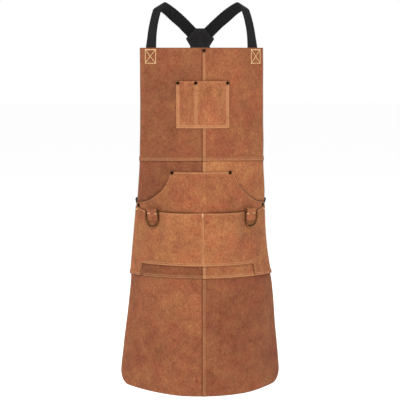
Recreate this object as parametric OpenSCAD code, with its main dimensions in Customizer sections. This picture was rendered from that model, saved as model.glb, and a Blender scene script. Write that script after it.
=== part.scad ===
// Split leather bib welding apron with cross-back webbing straps, shown as worn.
// Millimetres. +X is the viewer's right, +Y is towards the wearer's back, +Z is up.
// The origin is the point midway between the two shoulders, level with the undersides of the straps there.

/* [Apron] */
// Finished length from the bib's top edge to the hem
apron_length = 1067; // [1020:1:1110]
// Flat width of the bib across its top edge
bib_width = 409; // [390:1:420]
// Flat width across the hem
hem_width = 610; // [580:2:640]
// Thickness of the split leather
leather_thickness = 1.6; // [1.2:0.1:1.8]
// Width of every lap seam
seam_lap = 11; // [9:1:14]
// Radius of the two rounded hem corners
hem_corner_radius = 44; // [20:2:60]

/* [Pockets] */
// Height of the chest pocket
chest_pocket_height = 142; // [110:2:150]
// How far the chest pocket stands off the bib when worn
chest_pocket_gape = 9; // [6:0.5:10]
// How far the hand pocket stands off the waist panels
hand_pocket_gape = 9; // [6:0.5:10]
// How far each tool pocket stands off the hand pocket
tool_pocket_gape = 9; // [6:0.5:10]

/* [Hardware] */
// Width of the webbing straps
webbing_width = 38; // [30:1:38]
// Thickness of the webbing
webbing_thickness = 1.8; // [1.4:0.1:1.8]
// Diameter of the D-ring wire
ring_wire = 5.6; // [4:0.2:5.6]
// Inside width of the D-rings
ring_inside = 42; // [39:0.2:42.4]
// Diameter of the rivet caps
rivet_cap = 9.4; // [8:0.2:10]

/* [Hidden] */

t = leather_thickness;
gap = 0.3;             // air between layers that lie on each other
st = t + gap;          // one layer's step
z_bib = -138;          // bib top edge
z_hem = z_bib - apron_length;

// ---- the worn surface: every level is an arc about a vertical axis ----
R_TABLE = [[-1300, 286], [-1205, 286], [-1000, 272], [-860, 256], [-700, 236], [-610, 236], [-520, 262], [-420, 284], [-138, 290], [0, 290]];
Y_TABLE = [[-1300, -120], [-1205, -120], [-900, -122], [-620, -124], [-450, -123], [-330, -119], [-220, -110], [-138, -98], [0, -98]];
W_TABLE = [[-1300, 1], [-1165, 1], [-1108, 0.94], [-1003, 0.77], [-900, 0.645], [-850, 0.59], [-748, 0.49], [-697, 0.44], [-620, 0.32], [-569, 0.19], [-518, 0.09], [-480, 0.05], [-380, 0.01], [-300, 0], [0, 0]];

function rad(z) = lookup(z, R_TABLE);
function front(z) = lookup(z, Y_TABLE);
function half(z) = bib_width / 2 + (hem_width - bib_width) / 2 * lookup(z, W_TABLE);
function ang(s, z) = s / rad(z) * 180 / PI;
// the right hip lies closer in than the left one
N_TABLE = [[-1300, 0], [-870, 0], [-810, 5], [-770, 8], [-700, 9], [-665, 9], [-640, 8.2], [-615, 5], [-590, 1.2], [-575, 0], [0, 0]];
function narrow(s, z) = s > 0 ? lookup(z, N_TABLE) * pow(s / 250, 2) : 0;
function surf(s, z, o) = let (r = rad(z), a = s / r * 180 / PI)
    [(r + o) * sin(a) - narrow(s, z), front(z) + r - (r + o) * cos(a), z];
// which way the surface turns at a point, in degrees about the vertical
function turn(s, z) = let (d = surf(s + 1, z, 0) - surf(s - 1, z, 0)) atan2(d[1], d[0]);
function lerp(a, b, u) = a + (b - a) * u;
function clamp01(u) = max(0, min(1, u));
function ease(u) = let (c = clamp01(u)) c * c * (3 - 2 * c);
function unit(v) = v / norm(v);

// ---- seams ----
function seam1(s) = -477 - 5.5 * pow(s / 206, 2);
function seam2(s) = -836.5 - 4 * pow(s / 256, 2);
function corner_rise(k, r) = k > 0 ? r - sqrt(max(0, r * r - k * k)) : 0;
function hem(s) = z_hem + 0.00018 * s * s + corner_rise(abs(s) - (half(z_hem) - hem_corner_radius), hem_corner_radius);
// raise of a right hand panel where it laps over the left one
function lap_own(s) = clamp01((14.2 - s) / 4.5);
// raise of anything that lies over that lap
function lap_over(s) = s < 5 ? clamp01((s + 5.2) / 4.5) : clamp01((14.2 - s) / 4.5);
// raise of a tier's lower edge over the tier below, d above that edge
function tier_lap(d) = clamp01((seam_lap + 5.2 - d) / 4.5);

// ---- shell between two grids of points, i to the right and j upwards ----
function shell_faces(I, J) = let (n = (I + 1) * (J + 1)) concat(
    [for (i = [0:I - 1], j = [0:J - 1], k = [0:3]) let (
        a = i * (J + 1) + j, b = a + 1, c = a + J + 1, d = c + 1)
        k == 0 ? [a + n, b + n, d + n] : k == 1 ? [a + n, d + n, c + n] : k == 2 ? [a, d, b] : [a, c, d]],
    [for (i = [0:I - 1], k = [0:3]) let (a = i * (J + 1), c = a + J + 1, b = a + J, d = c + J)
        k == 0 ? [a + n, c + n, c] : k == 1 ? [a + n, c, a] : k == 2 ? [d + n, b + n, b] : [d + n, b, d]],
    [for (j = [0:J - 1], k = [0:3]) let (a = j, b = j + 1, c = I * (J + 1) + j, d = c + 1)
        k == 0 ? [b + n, a + n, a] : k == 1 ? [b + n, a, b] : k == 2 ? [c + n, d + n, d] : [c + n, d, c]]);

module shell(inner, outer, I, J) polyhedron(points = concat(inner, outer), faces = shell_faces(I, J), convexity = 8);

// ---- ribbon: route of [point, outward normal, edge curl], width w, thickness h ----
function tangent(r, i) = unit(r[min(i + 1, len(r) - 1)][0] - r[max(i - 1, 0)][0]);
function across(r, i) = unit(cross(tangent(r, i), r[i][1]));
function facing(r, i) = cross(across(r, i), tangent(r, i));
// the third entry of a route point is how far the two edges curl towards the body
function edge_at(r, i, e, w, h) = r[i][0] + across(r, i) * e * w / 2 + facing(r, i) * (h - abs(e) * r[i][2]);
module ribbon(r, w, h) {
    n = len(r);
    shell([for (e = [-1, 0, 1], i = [0:n - 1]) edge_at(r, i, e, w, -h / 2)], [for (e = [-1, 0, 1], i = [0:n - 1]) edge_at(r, i, e, w, h / 2)], 2, n - 1);
}
// smooth curve through hand placed points
function spline_at(a, b, c, d, u) = 0.5 * ((2 * b) + (c - a) * u + (2 * a - 5 * b + 4 * c - d) * u * u + (3 * b - a - 3 * c + d) * u * u * u);
function smooth(p, k) = [for (i = [0:len(p) - 2], j = [0:(i == len(p) - 2 ? k : k - 1)]) let (
    u = j / k, a = p[max(i - 1, 0)], b = p[i], c = p[i + 1], d = p[min(i + 2, len(p) - 1)])
    [spline_at(a[0], b[0], c[0], d[0], u), unit(b[1] * (1 - u) + c[1] * u), b[2] * (1 - u) + c[2] * u]];

// ================= leather panels =================
// columns: [fixed part, share of the half width]; rows: [fixed part above the lower edge, share of the rest]
function cols_r() = concat([[0, 0], [4.8, 0], [9.7, 0], [14.2, 0]], [for (c = [1:13]) [14.2 * (1 - c / 13), c / 13]]);
function cols_l() = concat([for (c = [13:-1:1]) [-14.2 * (1 - c / 13), -c / 13]], [[-14.2, 0], [-5.2, 0], [-0.7, 0], [4.4, 0], [9, 0]]);
// the skirt's outer columns bunch up around the rounded corner
CORNER = [0, 22, 42, 60, 76, 90];
function corner_share(i) = let (w = half(z_hem), r = hem_corner_radius) (w - r + r * sin(CORNER[i]) - 14.2) / (w - 14.2);
function skirt_shares() = concat([for (c = [1:11]) c / 11 * corner_share(0)], [for (i = [1:5]) corner_share(i)]);
function cols_rs() = concat([[0, 0], [4.8, 0], [9.7, 0], [14.2, 0]], [for (c = skirt_shares()) [14.2 * (1 - c), c]]);
function cols_ls() = concat([for (k = [len(skirt_shares()) - 1:-1:0]) let (c = skirt_shares()[k]) [-14.2 * (1 - c), -c]], [[-14.2, 0], [-5.2, 0], [-0.7, 0], [4.4, 0], [9, 0]]);
function at_col(c, z) = c[0] + c[1] * half(z);

function rows_lap(k) = concat([[0, 0], [seam_lap / 2, 0], [seam_lap + 0.5, 0], [seam_lap + 5.4, 0]], [for (q = [1:k]) [(seam_lap + 5.4) * (1 - q / k), q / k]]);
function rows_plain(k) = [for (q = [0:k]) [0, q / k]];

// kind 0 bib, 1 waist, 2 skirt
function low(kind, s) = kind == 0 ? seam1(s) : kind == 1 ? seam2(s) : hem(s);
function high(kind, s) = kind == 0 ? z_bib : kind == 1 ? seam1(s) + seam_lap - 0.6 : seam2(s) + seam_lap - 0.6;
function row_z(kind, c, r) = let (s0 = at_col(c, kind == 0 ? -300 : kind == 1 ? -660 : z_hem), a = low(kind, s0), b = high(kind, s0)) a + r[0] + r[1] * (b - a);
function lift(kind, right, s, z) = st * ((right ? lap_own(s) : 0) + (kind == 2 ? 0 : tier_lap(z - low(kind, s)) * (1 + lap_over(s))));

module panel(kind, right) {
    cs = kind == 2 ? (right ? cols_rs() : cols_ls()) : (right ? cols_r() : cols_l());
    rs = kind == 0 ? rows_lap(14) : kind == 1 ? rows_lap(15) : rows_plain(15);
    grid = [for (c = cs, r = rs) let (z = row_z(kind, c, r), s = at_col(c, z)) [s, z, lift(kind, right, s, z)]];
    shell([for (g = grid) surf(g[0], g[1], g[2])], [for (g = grid) surf(g[0], g[1], g[2] + t)], len(cs) - 1, len(rs) - 1);
}

// ---- rivets: [s, z, layers under the cap] ----
CHEST_RIVETS = [[-74, -244], [-20, -244], [76, -244]];
HAND_RIVETS = [[-93, -514.5], [84, -514.5]];
SIDE_RIVETS = [[-223, -621], [223, -621]];
TOP_RIVET = [[5, -146.7]];
post_r = 1.5;

function slope(z) = (front(z + 6) - front(z - 6)) / 12;
module on_surface(s, z, o) translate(surf(s, z, o)) rotate([0, 0, turn(s, z)]) rotate([90 - atan(slope(z) * cos(turn(s, z))), 0, 0]) children();
module rivet_holes(list) for (p = list) on_surface(p[0], p[1], 0) translate([0, 0, -12]) cylinder(r = post_r + 0.1, h = 34, $fn = 24);
module cap_shape() rotate_extrude($fn = 40) polygon([[0, 0.3], [post_r - 0.4, 0.3], [rivet_cap / 2 - 0.5, 0.3], [rivet_cap / 2, 0.6], [rivet_cap / 2 - 0.35, 1.3], [rivet_cap / 2 - 1.5, 1.9], [rivet_cap / 2 - 3, 2.2], [0, 2.3]]);
module back_shape() rotate_extrude($fn = 40) polygon([[post_r + 0.05, -0.3], [rivet_cap / 2 - 0.6, -0.3], [rivet_cap / 2 - 0.4, -0.8], [rivet_cap / 2 - 1.6, -1.3], [post_r + 0.05, -1.5]]);
// cap over the outer face at lift top, post going down through the layers to the washer at lift bottom
module rivet(s, z, top, bottom) on_surface(s, z, 0) { translate([0, 0, top]) cap_shape(); translate([0, 0, bottom - 1.7]) cylinder(r = post_r, h = top - bottom + 2.4, $fn = 24); }
module washer(s, z, bottom) on_surface(s, z, 0) translate([0, 0, bottom]) back_shape();

module bib_panel_left() color("peru") difference() { panel(0, false); rivet_holes(CHEST_RIVETS); rivet_holes(TOP_RIVET); }
module bib_panel_right() color("chocolate") difference() { panel(0, true); rivet_holes([CHEST_RIVETS[2]]); rivet_holes(TOP_RIVET); }
module waist_panel_left() color("sienna") difference() { panel(1, false); rivet_holes([HAND_RIVETS[0], SIDE_RIVETS[0]]); }
module waist_panel_right() color("peru") difference() { panel(1, true); rivet_holes([HAND_RIVETS[1], SIDE_RIVETS[1]]); }
module skirt_panel_left() color("chocolate") panel(2, false);
module skirt_panel_right() color("sienna") panel(2, true);

// ================= pockets =================
// swell of a pocket mouth: 0 at the stitched lines a and b, 1 between
function swell(s, a, b, m) = ease((s - a) / m) * ease((b - s) / m);

chest_l = -79.5; chest_r = 81.5; chest_div = -19.5;
chest_top = -238; chest_low = chest_top - chest_pocket_height;
function chest_lift(s, z) = st * (1 + lap_over(s)) + chest_pocket_gape
    * (s < chest_div ? swell(s, chest_l + 10.5, chest_div - 5.2, 17) : swell(s, chest_div + 5.2, chest_r - 10.5, 28))
    * ease((z - chest_low - 6) / 60);
module chest_pocket() {
    cs = [-79.5, -74, -69, -64, -57.5, -51, -46.5, -42, -35.5, -30, -24.7, -19.5, -14.3, -9.5, -5.2, -0.7, 4.5, 9.7, 14.2, 22, 32, 43, 50, 57, 64, 71, 76.5, 81.5];
    rs = [0, 0.045, 0.12, 0.22, 0.34, 0.48, 0.62, 0.76, 0.88, 0.96, 1];
    grid = [for (c = cs, r = rs) let (z = lerp(chest_low, chest_top, r)) [c, z, chest_lift(c, z)]];
    color("sandybrown") difference() {
        shell([for (g = grid) surf(g[0], g[1], g[2])], [for (g = grid) surf(g[0], g[1], g[2] + t)], len(cs) - 1, len(rs) - 1);
        rivet_holes(CHEST_RIVETS);
    }
}

// hand pocket: straight top edge, curved side mouths, then the apron's own side edges
hand_low = -792;
tool_top = -635.5;
MOUTH = [[98, -511.5], [103, -530], [108, -545], [116, -559], [127, -571], [140, -582], [154, -591.5], [173, -600], [194, -606], [215, -610], [236, -612.5]];
function hand_edge(s) = let (m = abs(s)) m <= 98 ? -511.5 : m >= 236 ? -612.5 : lookup(m, MOUTH);
function hand_swell(s, z) = let (k = ease((-585 - z) / 45)) ease((lerp(half(z) - 8, 140, k) - abs(s)) / lerp(70, 50, k)) * ease((-520 - z) / 40) * ease((z - hand_low - 8) / 90);
function hand_lift(s, z) = st * (1 + lap_over(s)) + 0.45 + hand_pocket_gape * hand_swell(s, z);
// columns and rows that the two lower pockets share
HALF_COLS = [14.2, 24, 34, 47, 62, 78, 90, 98, 108, 118, 123.5, 129, 135, 145, 156, 167, 178, 184, 189];
LOW_ROWS = [-792, -780, -764, -748, -732, -714, -696, -676, -666, -650, -635.5];
MID = [-5.2, -0.7, 4.5, 9.7];
function mirrored(list) = concat([for (k = [len(list) - 1:-1:0]) -list[k]], MID, list);
function side_s(c, z) = abs(c) <= 189 ? c : sign(c) * lerp(189, half(z), (abs(c) - 189) / 48);
module hand_pocket() {
    cs = mirrored(concat(HALF_COLS, [203, 220, 237]));
    up = [0.14, 0.28, 0.42, 0.56, 0.7, 0.84, 0.95, 1];
    grid = [for (c = cs, r = concat(LOW_ROWS, up)) let (z = r < 0 ? r : lerp(tool_top, hand_edge(c), r), s = side_s(c, z)) [s, z, hand_lift(s, z)]];
    color("peru") difference() {
        shell([for (g = grid) surf(g[0], g[1], g[2])], [for (g = grid) surf(g[0], g[1], g[2] + t)], len(cs) - 1, len(LOW_ROWS) + len(up) - 1);
        rivet_holes(HAND_RIVETS);
        rivet_holes(SIDE_RIVETS);
    }
}

// tool pocket: the wide lower pocket, stitched down at the centre, with a tail down each side to the lower seam
tool_low = -799;
tail_l = -199; tail_r = 172;
ring_s = 156;
tab_rise = 4.3;      // how far the ring tabs push the tool pocket out
// the tool pocket's top edge climbs a little towards each side
function tool_rim(s) = tool_top + 10 * ease((abs(s) - 189) / 48);
function tail(s) = s < tail_l ? clamp01((tail_l - s) / 4) : s > tail_r ? clamp01((s - tail_r) / 4) : 0;
function tool_edge(s) = lerp(tool_low, seam2(s) + 0.8, tail(s));
function tool_lift(s, z) = hand_lift(s, z) + st + 0.2
    + tool_pocket_gape * swell(abs(s), 5, 140, 44) * ease((z - tool_low - 8) / 75)
    + tab_rise * ease((abs(s) - 129) / 6) * ease((184 - abs(s)) / 6) * ease((z + 676) / 9)
    + st * tier_lap(z - seam2(s)) * (1 + lap_over(s));
module tool_pocket() {
    cs = concat([-237, -220, -203, -199, -189], [for (k = [17:-1:0]) -HALF_COLS[k]], MID, [for (k = [0:15]) HALF_COLS[k]], [172, 176, 178, 184, 189, 203, 220, 237]);
    up = [0, 0.11, 0.225, 0.335, 0.6];
    grid = [for (c = cs, r = concat(up, LOW_ROWS)) let (z = r == tool_top ? tool_rim(c) : r < 0 ? r : lerp(tool_edge(c), hand_low, r), s = side_s(c, z)) [s, z, tool_lift(s, z)]];
    color("sandybrown") shell([for (g = grid) surf(g[0], g[1], g[2])], [for (g = grid) surf(g[0], g[1], g[2] + t)], len(cs) - 1, len(LOW_ROWS) + len(up) - 1);
}

// ================= D-rings =================
ring_z = tool_top + 5.2;
ring_o = 2 * st + 0.65 + tab_rise + t + 0.35 + ring_wire / 2;      // lift of the bar's centre, clear of the pocket's face
ring_drop = 50;
wr = ring_wire / 2;
ring_half = ring_inside / 2 + wr;
tab_w = 38;
tab_u = st + 0.45 + t + 0.5 - ring_o;   // inner face of the folded tab, behind the pocket's leather
// local X outward, local Y up, extruded along the bar
module at_ring(side) translate(concat([for (k = [0, 1]) surf(side * ring_s, ring_z, ring_o)[k]], [ring_z])) rotate([0, 0, turn(side * ring_s, ring_z)]) children();
flap_end = 36;       // the front flap hangs inside the ring and ends in rounded corners
module tab_profile(flap) rotate([90, 0, -90]) translate([0, 0, -tab_w / 2]) linear_extrude(tab_w) difference() {
    if (flap) polygon([[2.9, 1.5], [4.3, 1], [4.42, -0.4], [-1.2, -13], [-1.35, -14], [-1.35, -flap_end], [-2.75, -flap_end], [-2.75, -13.2], [2.1, -2.2]]);
    else union() {
        circle(r = wr + 0.25 + 1.4, $fn = 48);
        translate([tab_u, -31]) square([2.7, 29]);
        polygon([[tab_u, -4], [tab_u + 2.7, -4.4], [-2, -4.4], [-0.5, 4.3], [-3, 4.3], [tab_u, 0.5]]);
    }
    circle(r = wr + 0.25, $fn = 48);
}
module d_ring_tab(side) color("saddlebrown") at_ring(side) {
    tab_profile(false);
    intersection() {
        tab_profile(true);
        rotate([90, 0, 0]) linear_extrude(40, center = true) translate([0, ring_half - ring_drop]) {
            translate([-tab_w, 0]) square([2 * tab_w, 60]);
            circle(r = ring_inside / 2 - 1.6, $fn = 64);
        }
    }
}
module d_ring(side) color("darkgoldenrod") at_ring(side) {
    translate([-ring_half, 0, 0]) rotate([0, 90, 0]) cylinder(r = wr, h = 2 * ring_half, $fn = 32);
    for (e = [-1, 1]) translate([e * ring_half, 0, 0]) {
        sphere(r = wr, $fn = 32);
        translate([0, 0, -(ring_drop - ring_half)]) cylinder(r = wr, h = ring_drop - ring_half, $fn = 32);
    }
    translate([0, 0, -(ring_drop - ring_half)]) rotate([-90, 0, 0]) rotate_extrude(angle = 180, $fn = 64) translate([ring_half, 0]) circle(r = wr, $fn = 32);
}

// ================= back surface, straps and yoke =================
B_TABLE = [[-420, 119], [-380, 123], [-337, 125.8], [-286, 127.7], [-230, 125.3], [-174, 119.8], [-146, 116.4], [-119, 112], [-103, 107.6], [-88, 102.5], [-74, 97.2], [-60, 91], [-42, 78]];
function back_y(x, z) = lookup(z, B_TABLE) - x * x / 600;
function back_n(x, z) = unit([x / 300, 1, -(lookup(z + 12, B_TABLE) - lookup(z - 12, B_TABLE)) / 24]);
function on_back(x, z, o) = [[x, back_y(x, z), z] + back_n(x, z) * o, back_n(x, z)];

// hip frame: local z runs up along the strap, local y faces away from the wearer, local x is across the webbing
hip_at = [190, -8.5, -581.5];
hip_d = unit([-0.34, 0.38, 0.86]);
hip_n = unit([1, 0.2, 0] - hip_d * ([1, 0.2, 0] * hip_d));
hip_w = cross(hip_n, hip_d);
module at_hip(side) if (side > 0) multmatrix(hip_m) children(); else mirror([1, 0, 0]) multmatrix(hip_m) children();
hip_m = [[hip_w[0], hip_n[0], hip_d[0], hip_at[0]], [hip_w[1], hip_n[1], hip_d[1], hip_at[1]], [hip_w[2], hip_n[2], hip_d[2], hip_at[2]], [0, 0, 0, 1]];

// from the left end of the bib over the left shoulder, across the yoke to the right hip; k is the side of the other strap
function strap_route(k) = concat(
    [for (z = [-183, -168, -153, -138]) [surf(-164, z, -1.35), [-0.536, -0.844, 0], 0.62]],
    [[[-152, -44.5, -108], [-0.66, -0.74, 0.15], 0.3],
     [[-148.5, -35, -80], [-0.68, -0.7, 0.2], 0],
     [[-143, -25.5, -52], [-0.68, -0.66, 0.3], 0],
     [[-138, -17.5, -33], [-0.62, -0.6, 0.45], 0],
     [[-134, -10, -19], [-0.55, -0.4, 0.7], 0],
     [[-129.5, 0, -9.5], [-0.5, 0, 0.866], 0],
     [[-123, 14, -9], [-0.45, 0.25, 0.86], 0],
     [[-112, 30, -15], [-0.38, 0.45, 0.8], 0.2],
     [[-97, 47, -25], [-0.3, 0.6, 0.74], 0.5]],
    [for (p = [[-77, -42], [-55, -61], [-42, -74], [-28, -88], [-15, -103], [0, -119], [16, -146], [30, -173], [46, -202], [60, -230], [88, -287]]) [on_back(p[0], p[1], k)[0], on_back(p[0], p[1], k)[1], 0.95]],
    [[[108, 98, -338], [0.66, 0.74, 0.11], 0.4],
     [hip_at + hip_d * 212, hip_n, 0], [hip_at + hip_d * 184, hip_n, 0], [hip_at + hip_d * 156, hip_n, 0]]);
module shoulder_strap_left() color([0.13, 0.13, 0.14]) ribbon(smooth(strap_route(1.3), 2), webbing_width, webbing_thickness);
module shoulder_strap_right() color([0.16, 0.16, 0.17]) mirror([1, 0, 0]) ribbon(smooth(strap_route(-1.3), 2), webbing_width, webbing_thickness);

YOKE = [[-155, 17.5], [-110, 44.5], [-78, 17.5]];
module yoke_patch(o) {
    us = [for (k = [-6:6]) k / 6];
    zs = [-155, -146, -137, -128, -119, -110, -103, -95, -88, -78];
    grid = [for (u = us, z = zs) let (x = -u * lookup(z, YOKE)) [x, z]];
    shell([for (g = grid) on_back(g[0], g[1], o)[0]], [for (g = grid) on_back(g[0], g[1], o + 2)[0]], len(us) - 1, len(zs) - 1);
}
module yoke_patch_outer() color([0.1, 0.1, 0.1]) yoke_patch(1.3 + webbing_thickness / 2 + 0.6);
module yoke_patch_inner() color([0.12, 0.12, 0.12]) yoke_patch(-1.3 - webbing_thickness / 2 - 0.8 - 2);

// ================= hips =================
tab_stack = 2 * 1.6;
function tab_route(side) = concat(
    [for (p = [[211, -647, -2.3, 0.7], [217, -634, -2.3, 0.7], [223, -621, -2.4, 0.7], [229, -609, -2.9, 0.6], [233.5, -598, -5, 0.2]]) let (q = surf(side * p[0], p[1], p[2]), a = side * turn(side * p[0], p[1])) [[side * q[0], q[1], q[2]], [sin(a), -cos(a), 0], p[3]]],
    [[[189.6, -11, -589.5], unit(hip_n + [0, -0.3, 0]), 0.1], [hip_at - hip_d * 2, hip_n, 0], [hip_at + hip_d * 3, hip_n, 0]]);
module hip_tab(side) color([0.14, 0.14, 0.15]) {
    difference() {
        if (side > 0) ribbon(smooth(tab_route(1), 2), webbing_width, tab_stack); else mirror([1, 0, 0]) ribbon(smooth(tab_route(-1), 2), webbing_width, tab_stack);
        rivet_holes(SIDE_RIVETS);
    }
    at_hip(side) translate([-webbing_width / 2, 0, 0]) rotate([90, 0, 90]) linear_extrude(webbing_width) difference() {
        union() { translate([0, 11]) circle(r = 4.1, $fn = 40); translate([-1.6, 2]) square([3.2, 9]); }
        translate([0, 11]) circle(r = 2.5, $fn = 40);
    }
}

buckle_w = webbing_width + 8;
module rounded(w, h, z0, z1, r) translate([0, 0, z0]) linear_extrude(z1 - z0) union() {
    square([w - 2 * r, h], center = true);
    square([w, h - 2 * r], center = true);
    for (a = [-1, 1], b = [-1, 1]) translate([a * (w / 2 - r), b * (h / 2 - r)]) circle(r = r, $fn = 24);
}
module buckle_socket(side) color([0.09, 0.09, 0.1]) at_hip(side) difference() {
    union() {
        rounded(buckle_w, 12, 19, 54, 3);
        rounded(buckle_w, 9, 12, 19.5, 3);
        for (a = [-1, 1]) translate([a * (buckle_w / 2 - 1.6), 0, 11]) rotate([0, 90, 0]) cylinder(r = 4, h = 3.2, center = true, $fn = 32);
        translate([0, 0, 11]) rotate([0, 90, 0]) cylinder(r = 2.2, h = buckle_w - 1, center = true, $fn = 32);
    }
    difference() {
        translate([-webbing_width / 2 - 0.8, -8, 4]) cube([webbing_width + 1.6, 16, 13.5]);
        translate([0, 0, 11]) rotate([0, 90, 0]) cylinder(r = 2.2, h = buckle_w - 1, center = true, $fn = 32);
    }
    translate([-webbing_width / 2 - 1.4, -3.6, 24]) cube([webbing_width + 2.8, 7.2, 31]);
    for (a = [-1, 1]) translate([a * (buckle_w / 2 - 1) - 3, -3.6, 28]) cube([6, 7.2, 14]);
    for (a = [-1, 1]) translate([a * buckle_w / 2, 0, 35]) rotate([90, 0, 0]) cylinder(r = 5, h = 14, center = true, $fn = 40);
}
module buckle_plug(side) color([0.07, 0.07, 0.08]) at_hip(side) {
    rounded(buckle_w - 1, 10, 54.4, 61, 3);
    translate([-5, -2.4, 30]) cube([10, 4.8, 25]);
    for (a = [-1, 1]) translate([a * (buckle_w / 2 - 2.1) - 1.5, -3.5, 60.5]) cube([3, 7, 7.5]);
    for (a = [-1, 1]) translate([a * (buckle_w / 2 - 2.1), 0, 68]) rotate([0, 90, 0]) cylinder(r = 3.5, h = 3, center = true, $fn = 32);
    translate([0, 0, 68]) rotate([0, 90, 0]) cylinder(r = 2, h = buckle_w - 4, center = true, $fn = 32);
}
// e = 1 is the front prong, towards the wearer's front
module buckle_prong(side, e) color([0.11, 0.11, 0.12]) at_hip(side) rotate([0, 0, e > 0 ? 0 : 180]) translate([0, 2.8, 0]) rotate([90, 0, 0]) linear_extrude(5.6) union() {
    translate([17.2, 51]) circle(r = 2.75, $fn = 32);
    polygon([[15.6, 51], [15.6, 29], [16.4, 26], [17.6, 26], [20, 31.5], [20, 40.5], [18.8, 41.5], [18.8, 51]]);
}
module strap_loop(side) color([0.15, 0.15, 0.16]) at_hip(side) translate([-webbing_width / 2, 0, 0]) rotate([90, 0, 90]) linear_extrude(webbing_width) union() {
    difference() {
        translate([0, 68]) circle(r = 3.9, $fn = 40);
        translate([0, 68]) circle(r = 2.3, $fn = 40);
        translate([-5, 68]) square([10, 6]);
    }
    translate([2.3, 68]) square([1.6, 102]);
    translate([-3.9, 68]) square([1.6, 82]);
}
module strap_keeper(side) color([0.08, 0.08, 0.09]) at_hip(side) difference() {
    rounded(webbing_width + 9, 13.6, 108, 117, 3);
    rounded(webbing_width + 1.6, 8.6, 107, 118, 1);
}

module d_ring_tab_left() d_ring_tab(-1);
module d_ring_tab_right() d_ring_tab(1);
module d_ring_left() d_ring(-1);
module d_ring_right() d_ring(1);
module chest_pocket_rivets() color("darkgoldenrod") for (p = CHEST_RIVETS) rivet(p[0], p[1], chest_lift(p[0], p[1]) + t, 0);
module hand_pocket_rivets() color("darkgoldenrod") for (p = HAND_RIVETS) rivet(p[0], p[1], hand_lift(p[0], p[1]) + t, 0);
module side_rivets() color("darkgoldenrod") for (p = SIDE_RIVETS) rivet(p[0], p[1], hand_lift(p[0], p[1]) + t, -4.1);
module top_seam_rivet() color("darkgoldenrod") for (p = TOP_RIVET) rivet(p[0], p[1], st + t, 0);
module chest_rivet_backs() color("goldenrod") for (p = CHEST_RIVETS) washer(p[0], p[1], 0);
module hand_rivet_backs() color("goldenrod") for (p = HAND_RIVETS) washer(p[0], p[1], 0);
module side_rivet_backs() color("goldenrod") for (p = SIDE_RIVETS) washer(p[0], p[1], -4.1);
module top_rivet_back() color("goldenrod") for (p = TOP_RIVET) washer(p[0], p[1], 0);
module hip_tab_left() hip_tab(-1);
module hip_tab_right() hip_tab(1);
module buckle_socket_left() buckle_socket(-1);
module buckle_socket_right() buckle_socket(1);
module buckle_plug_left() buckle_plug(-1);
module buckle_plug_right() buckle_plug(1);
module buckle_prong_left_front() buckle_prong(-1, -1);
module buckle_prong_left_rear() buckle_prong(-1, 1);
module buckle_prong_right_front() buckle_prong(1, -1);
module buckle_prong_right_rear() buckle_prong(1, 1);
module strap_loop_left() strap_loop(-1);
module strap_loop_right() strap_loop(1);
module strap_keeper_left() strap_keeper(-1);
module strap_keeper_right() strap_keeper(1);

bib_panel_left();
bib_panel_right();
waist_panel_left();
waist_panel_right();
skirt_panel_left();
skirt_panel_right();
chest_pocket();
hand_pocket();
tool_pocket();
d_ring_tab_left();
d_ring_tab_right();
d_ring_left();
d_ring_right();
chest_pocket_rivets();
hand_pocket_rivets();
side_rivets();
top_seam_rivet();
chest_rivet_backs();
hand_rivet_backs();
side_rivet_backs();
top_rivet_back();
shoulder_strap_left();
shoulder_strap_right();
yoke_patch_outer();
yoke_patch_inner();
hip_tab_left();
hip_tab_right();
buckle_socket_left();
buckle_socket_right();
buckle_plug_left();
buckle_plug_right();
buckle_prong_left_front();
buckle_prong_left_rear();
buckle_prong_right_front();
buckle_prong_right_rear();
strap_loop_left();
strap_loop_right();
strap_keeper_left();
strap_keeper_right();
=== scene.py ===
import bpy, math
import numpy as np
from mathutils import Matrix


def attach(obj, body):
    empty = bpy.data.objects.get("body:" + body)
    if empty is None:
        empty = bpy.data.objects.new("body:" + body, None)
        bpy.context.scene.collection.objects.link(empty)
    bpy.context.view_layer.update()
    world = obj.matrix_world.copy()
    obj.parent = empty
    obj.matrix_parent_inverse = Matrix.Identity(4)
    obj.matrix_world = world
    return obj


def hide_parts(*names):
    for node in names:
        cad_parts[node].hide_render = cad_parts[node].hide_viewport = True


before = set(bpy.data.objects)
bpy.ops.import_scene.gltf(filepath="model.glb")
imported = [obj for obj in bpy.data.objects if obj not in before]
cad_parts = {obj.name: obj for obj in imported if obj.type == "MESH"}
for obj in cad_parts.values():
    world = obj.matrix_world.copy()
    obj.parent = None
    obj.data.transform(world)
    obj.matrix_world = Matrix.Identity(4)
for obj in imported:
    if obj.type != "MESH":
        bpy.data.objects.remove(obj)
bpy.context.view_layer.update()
RNG = np.random.RandomState(7)

# ------------------------------------------------------------------ the worn surface, in millimetres
def table(z, rows, soft=0.0):
    rows = sorted(rows)
    x, y = [r[0] for r in rows], [r[1] for r in rows]
    z = np.asarray(z, float)
    if not soft:
        return np.interp(z, x, y)
    return sum(w * np.interp(z + d * soft, x, y) for d, w in ((-1, .2), (-.5, .2), (0, .2), (.5, .2), (1, .2)))

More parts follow.
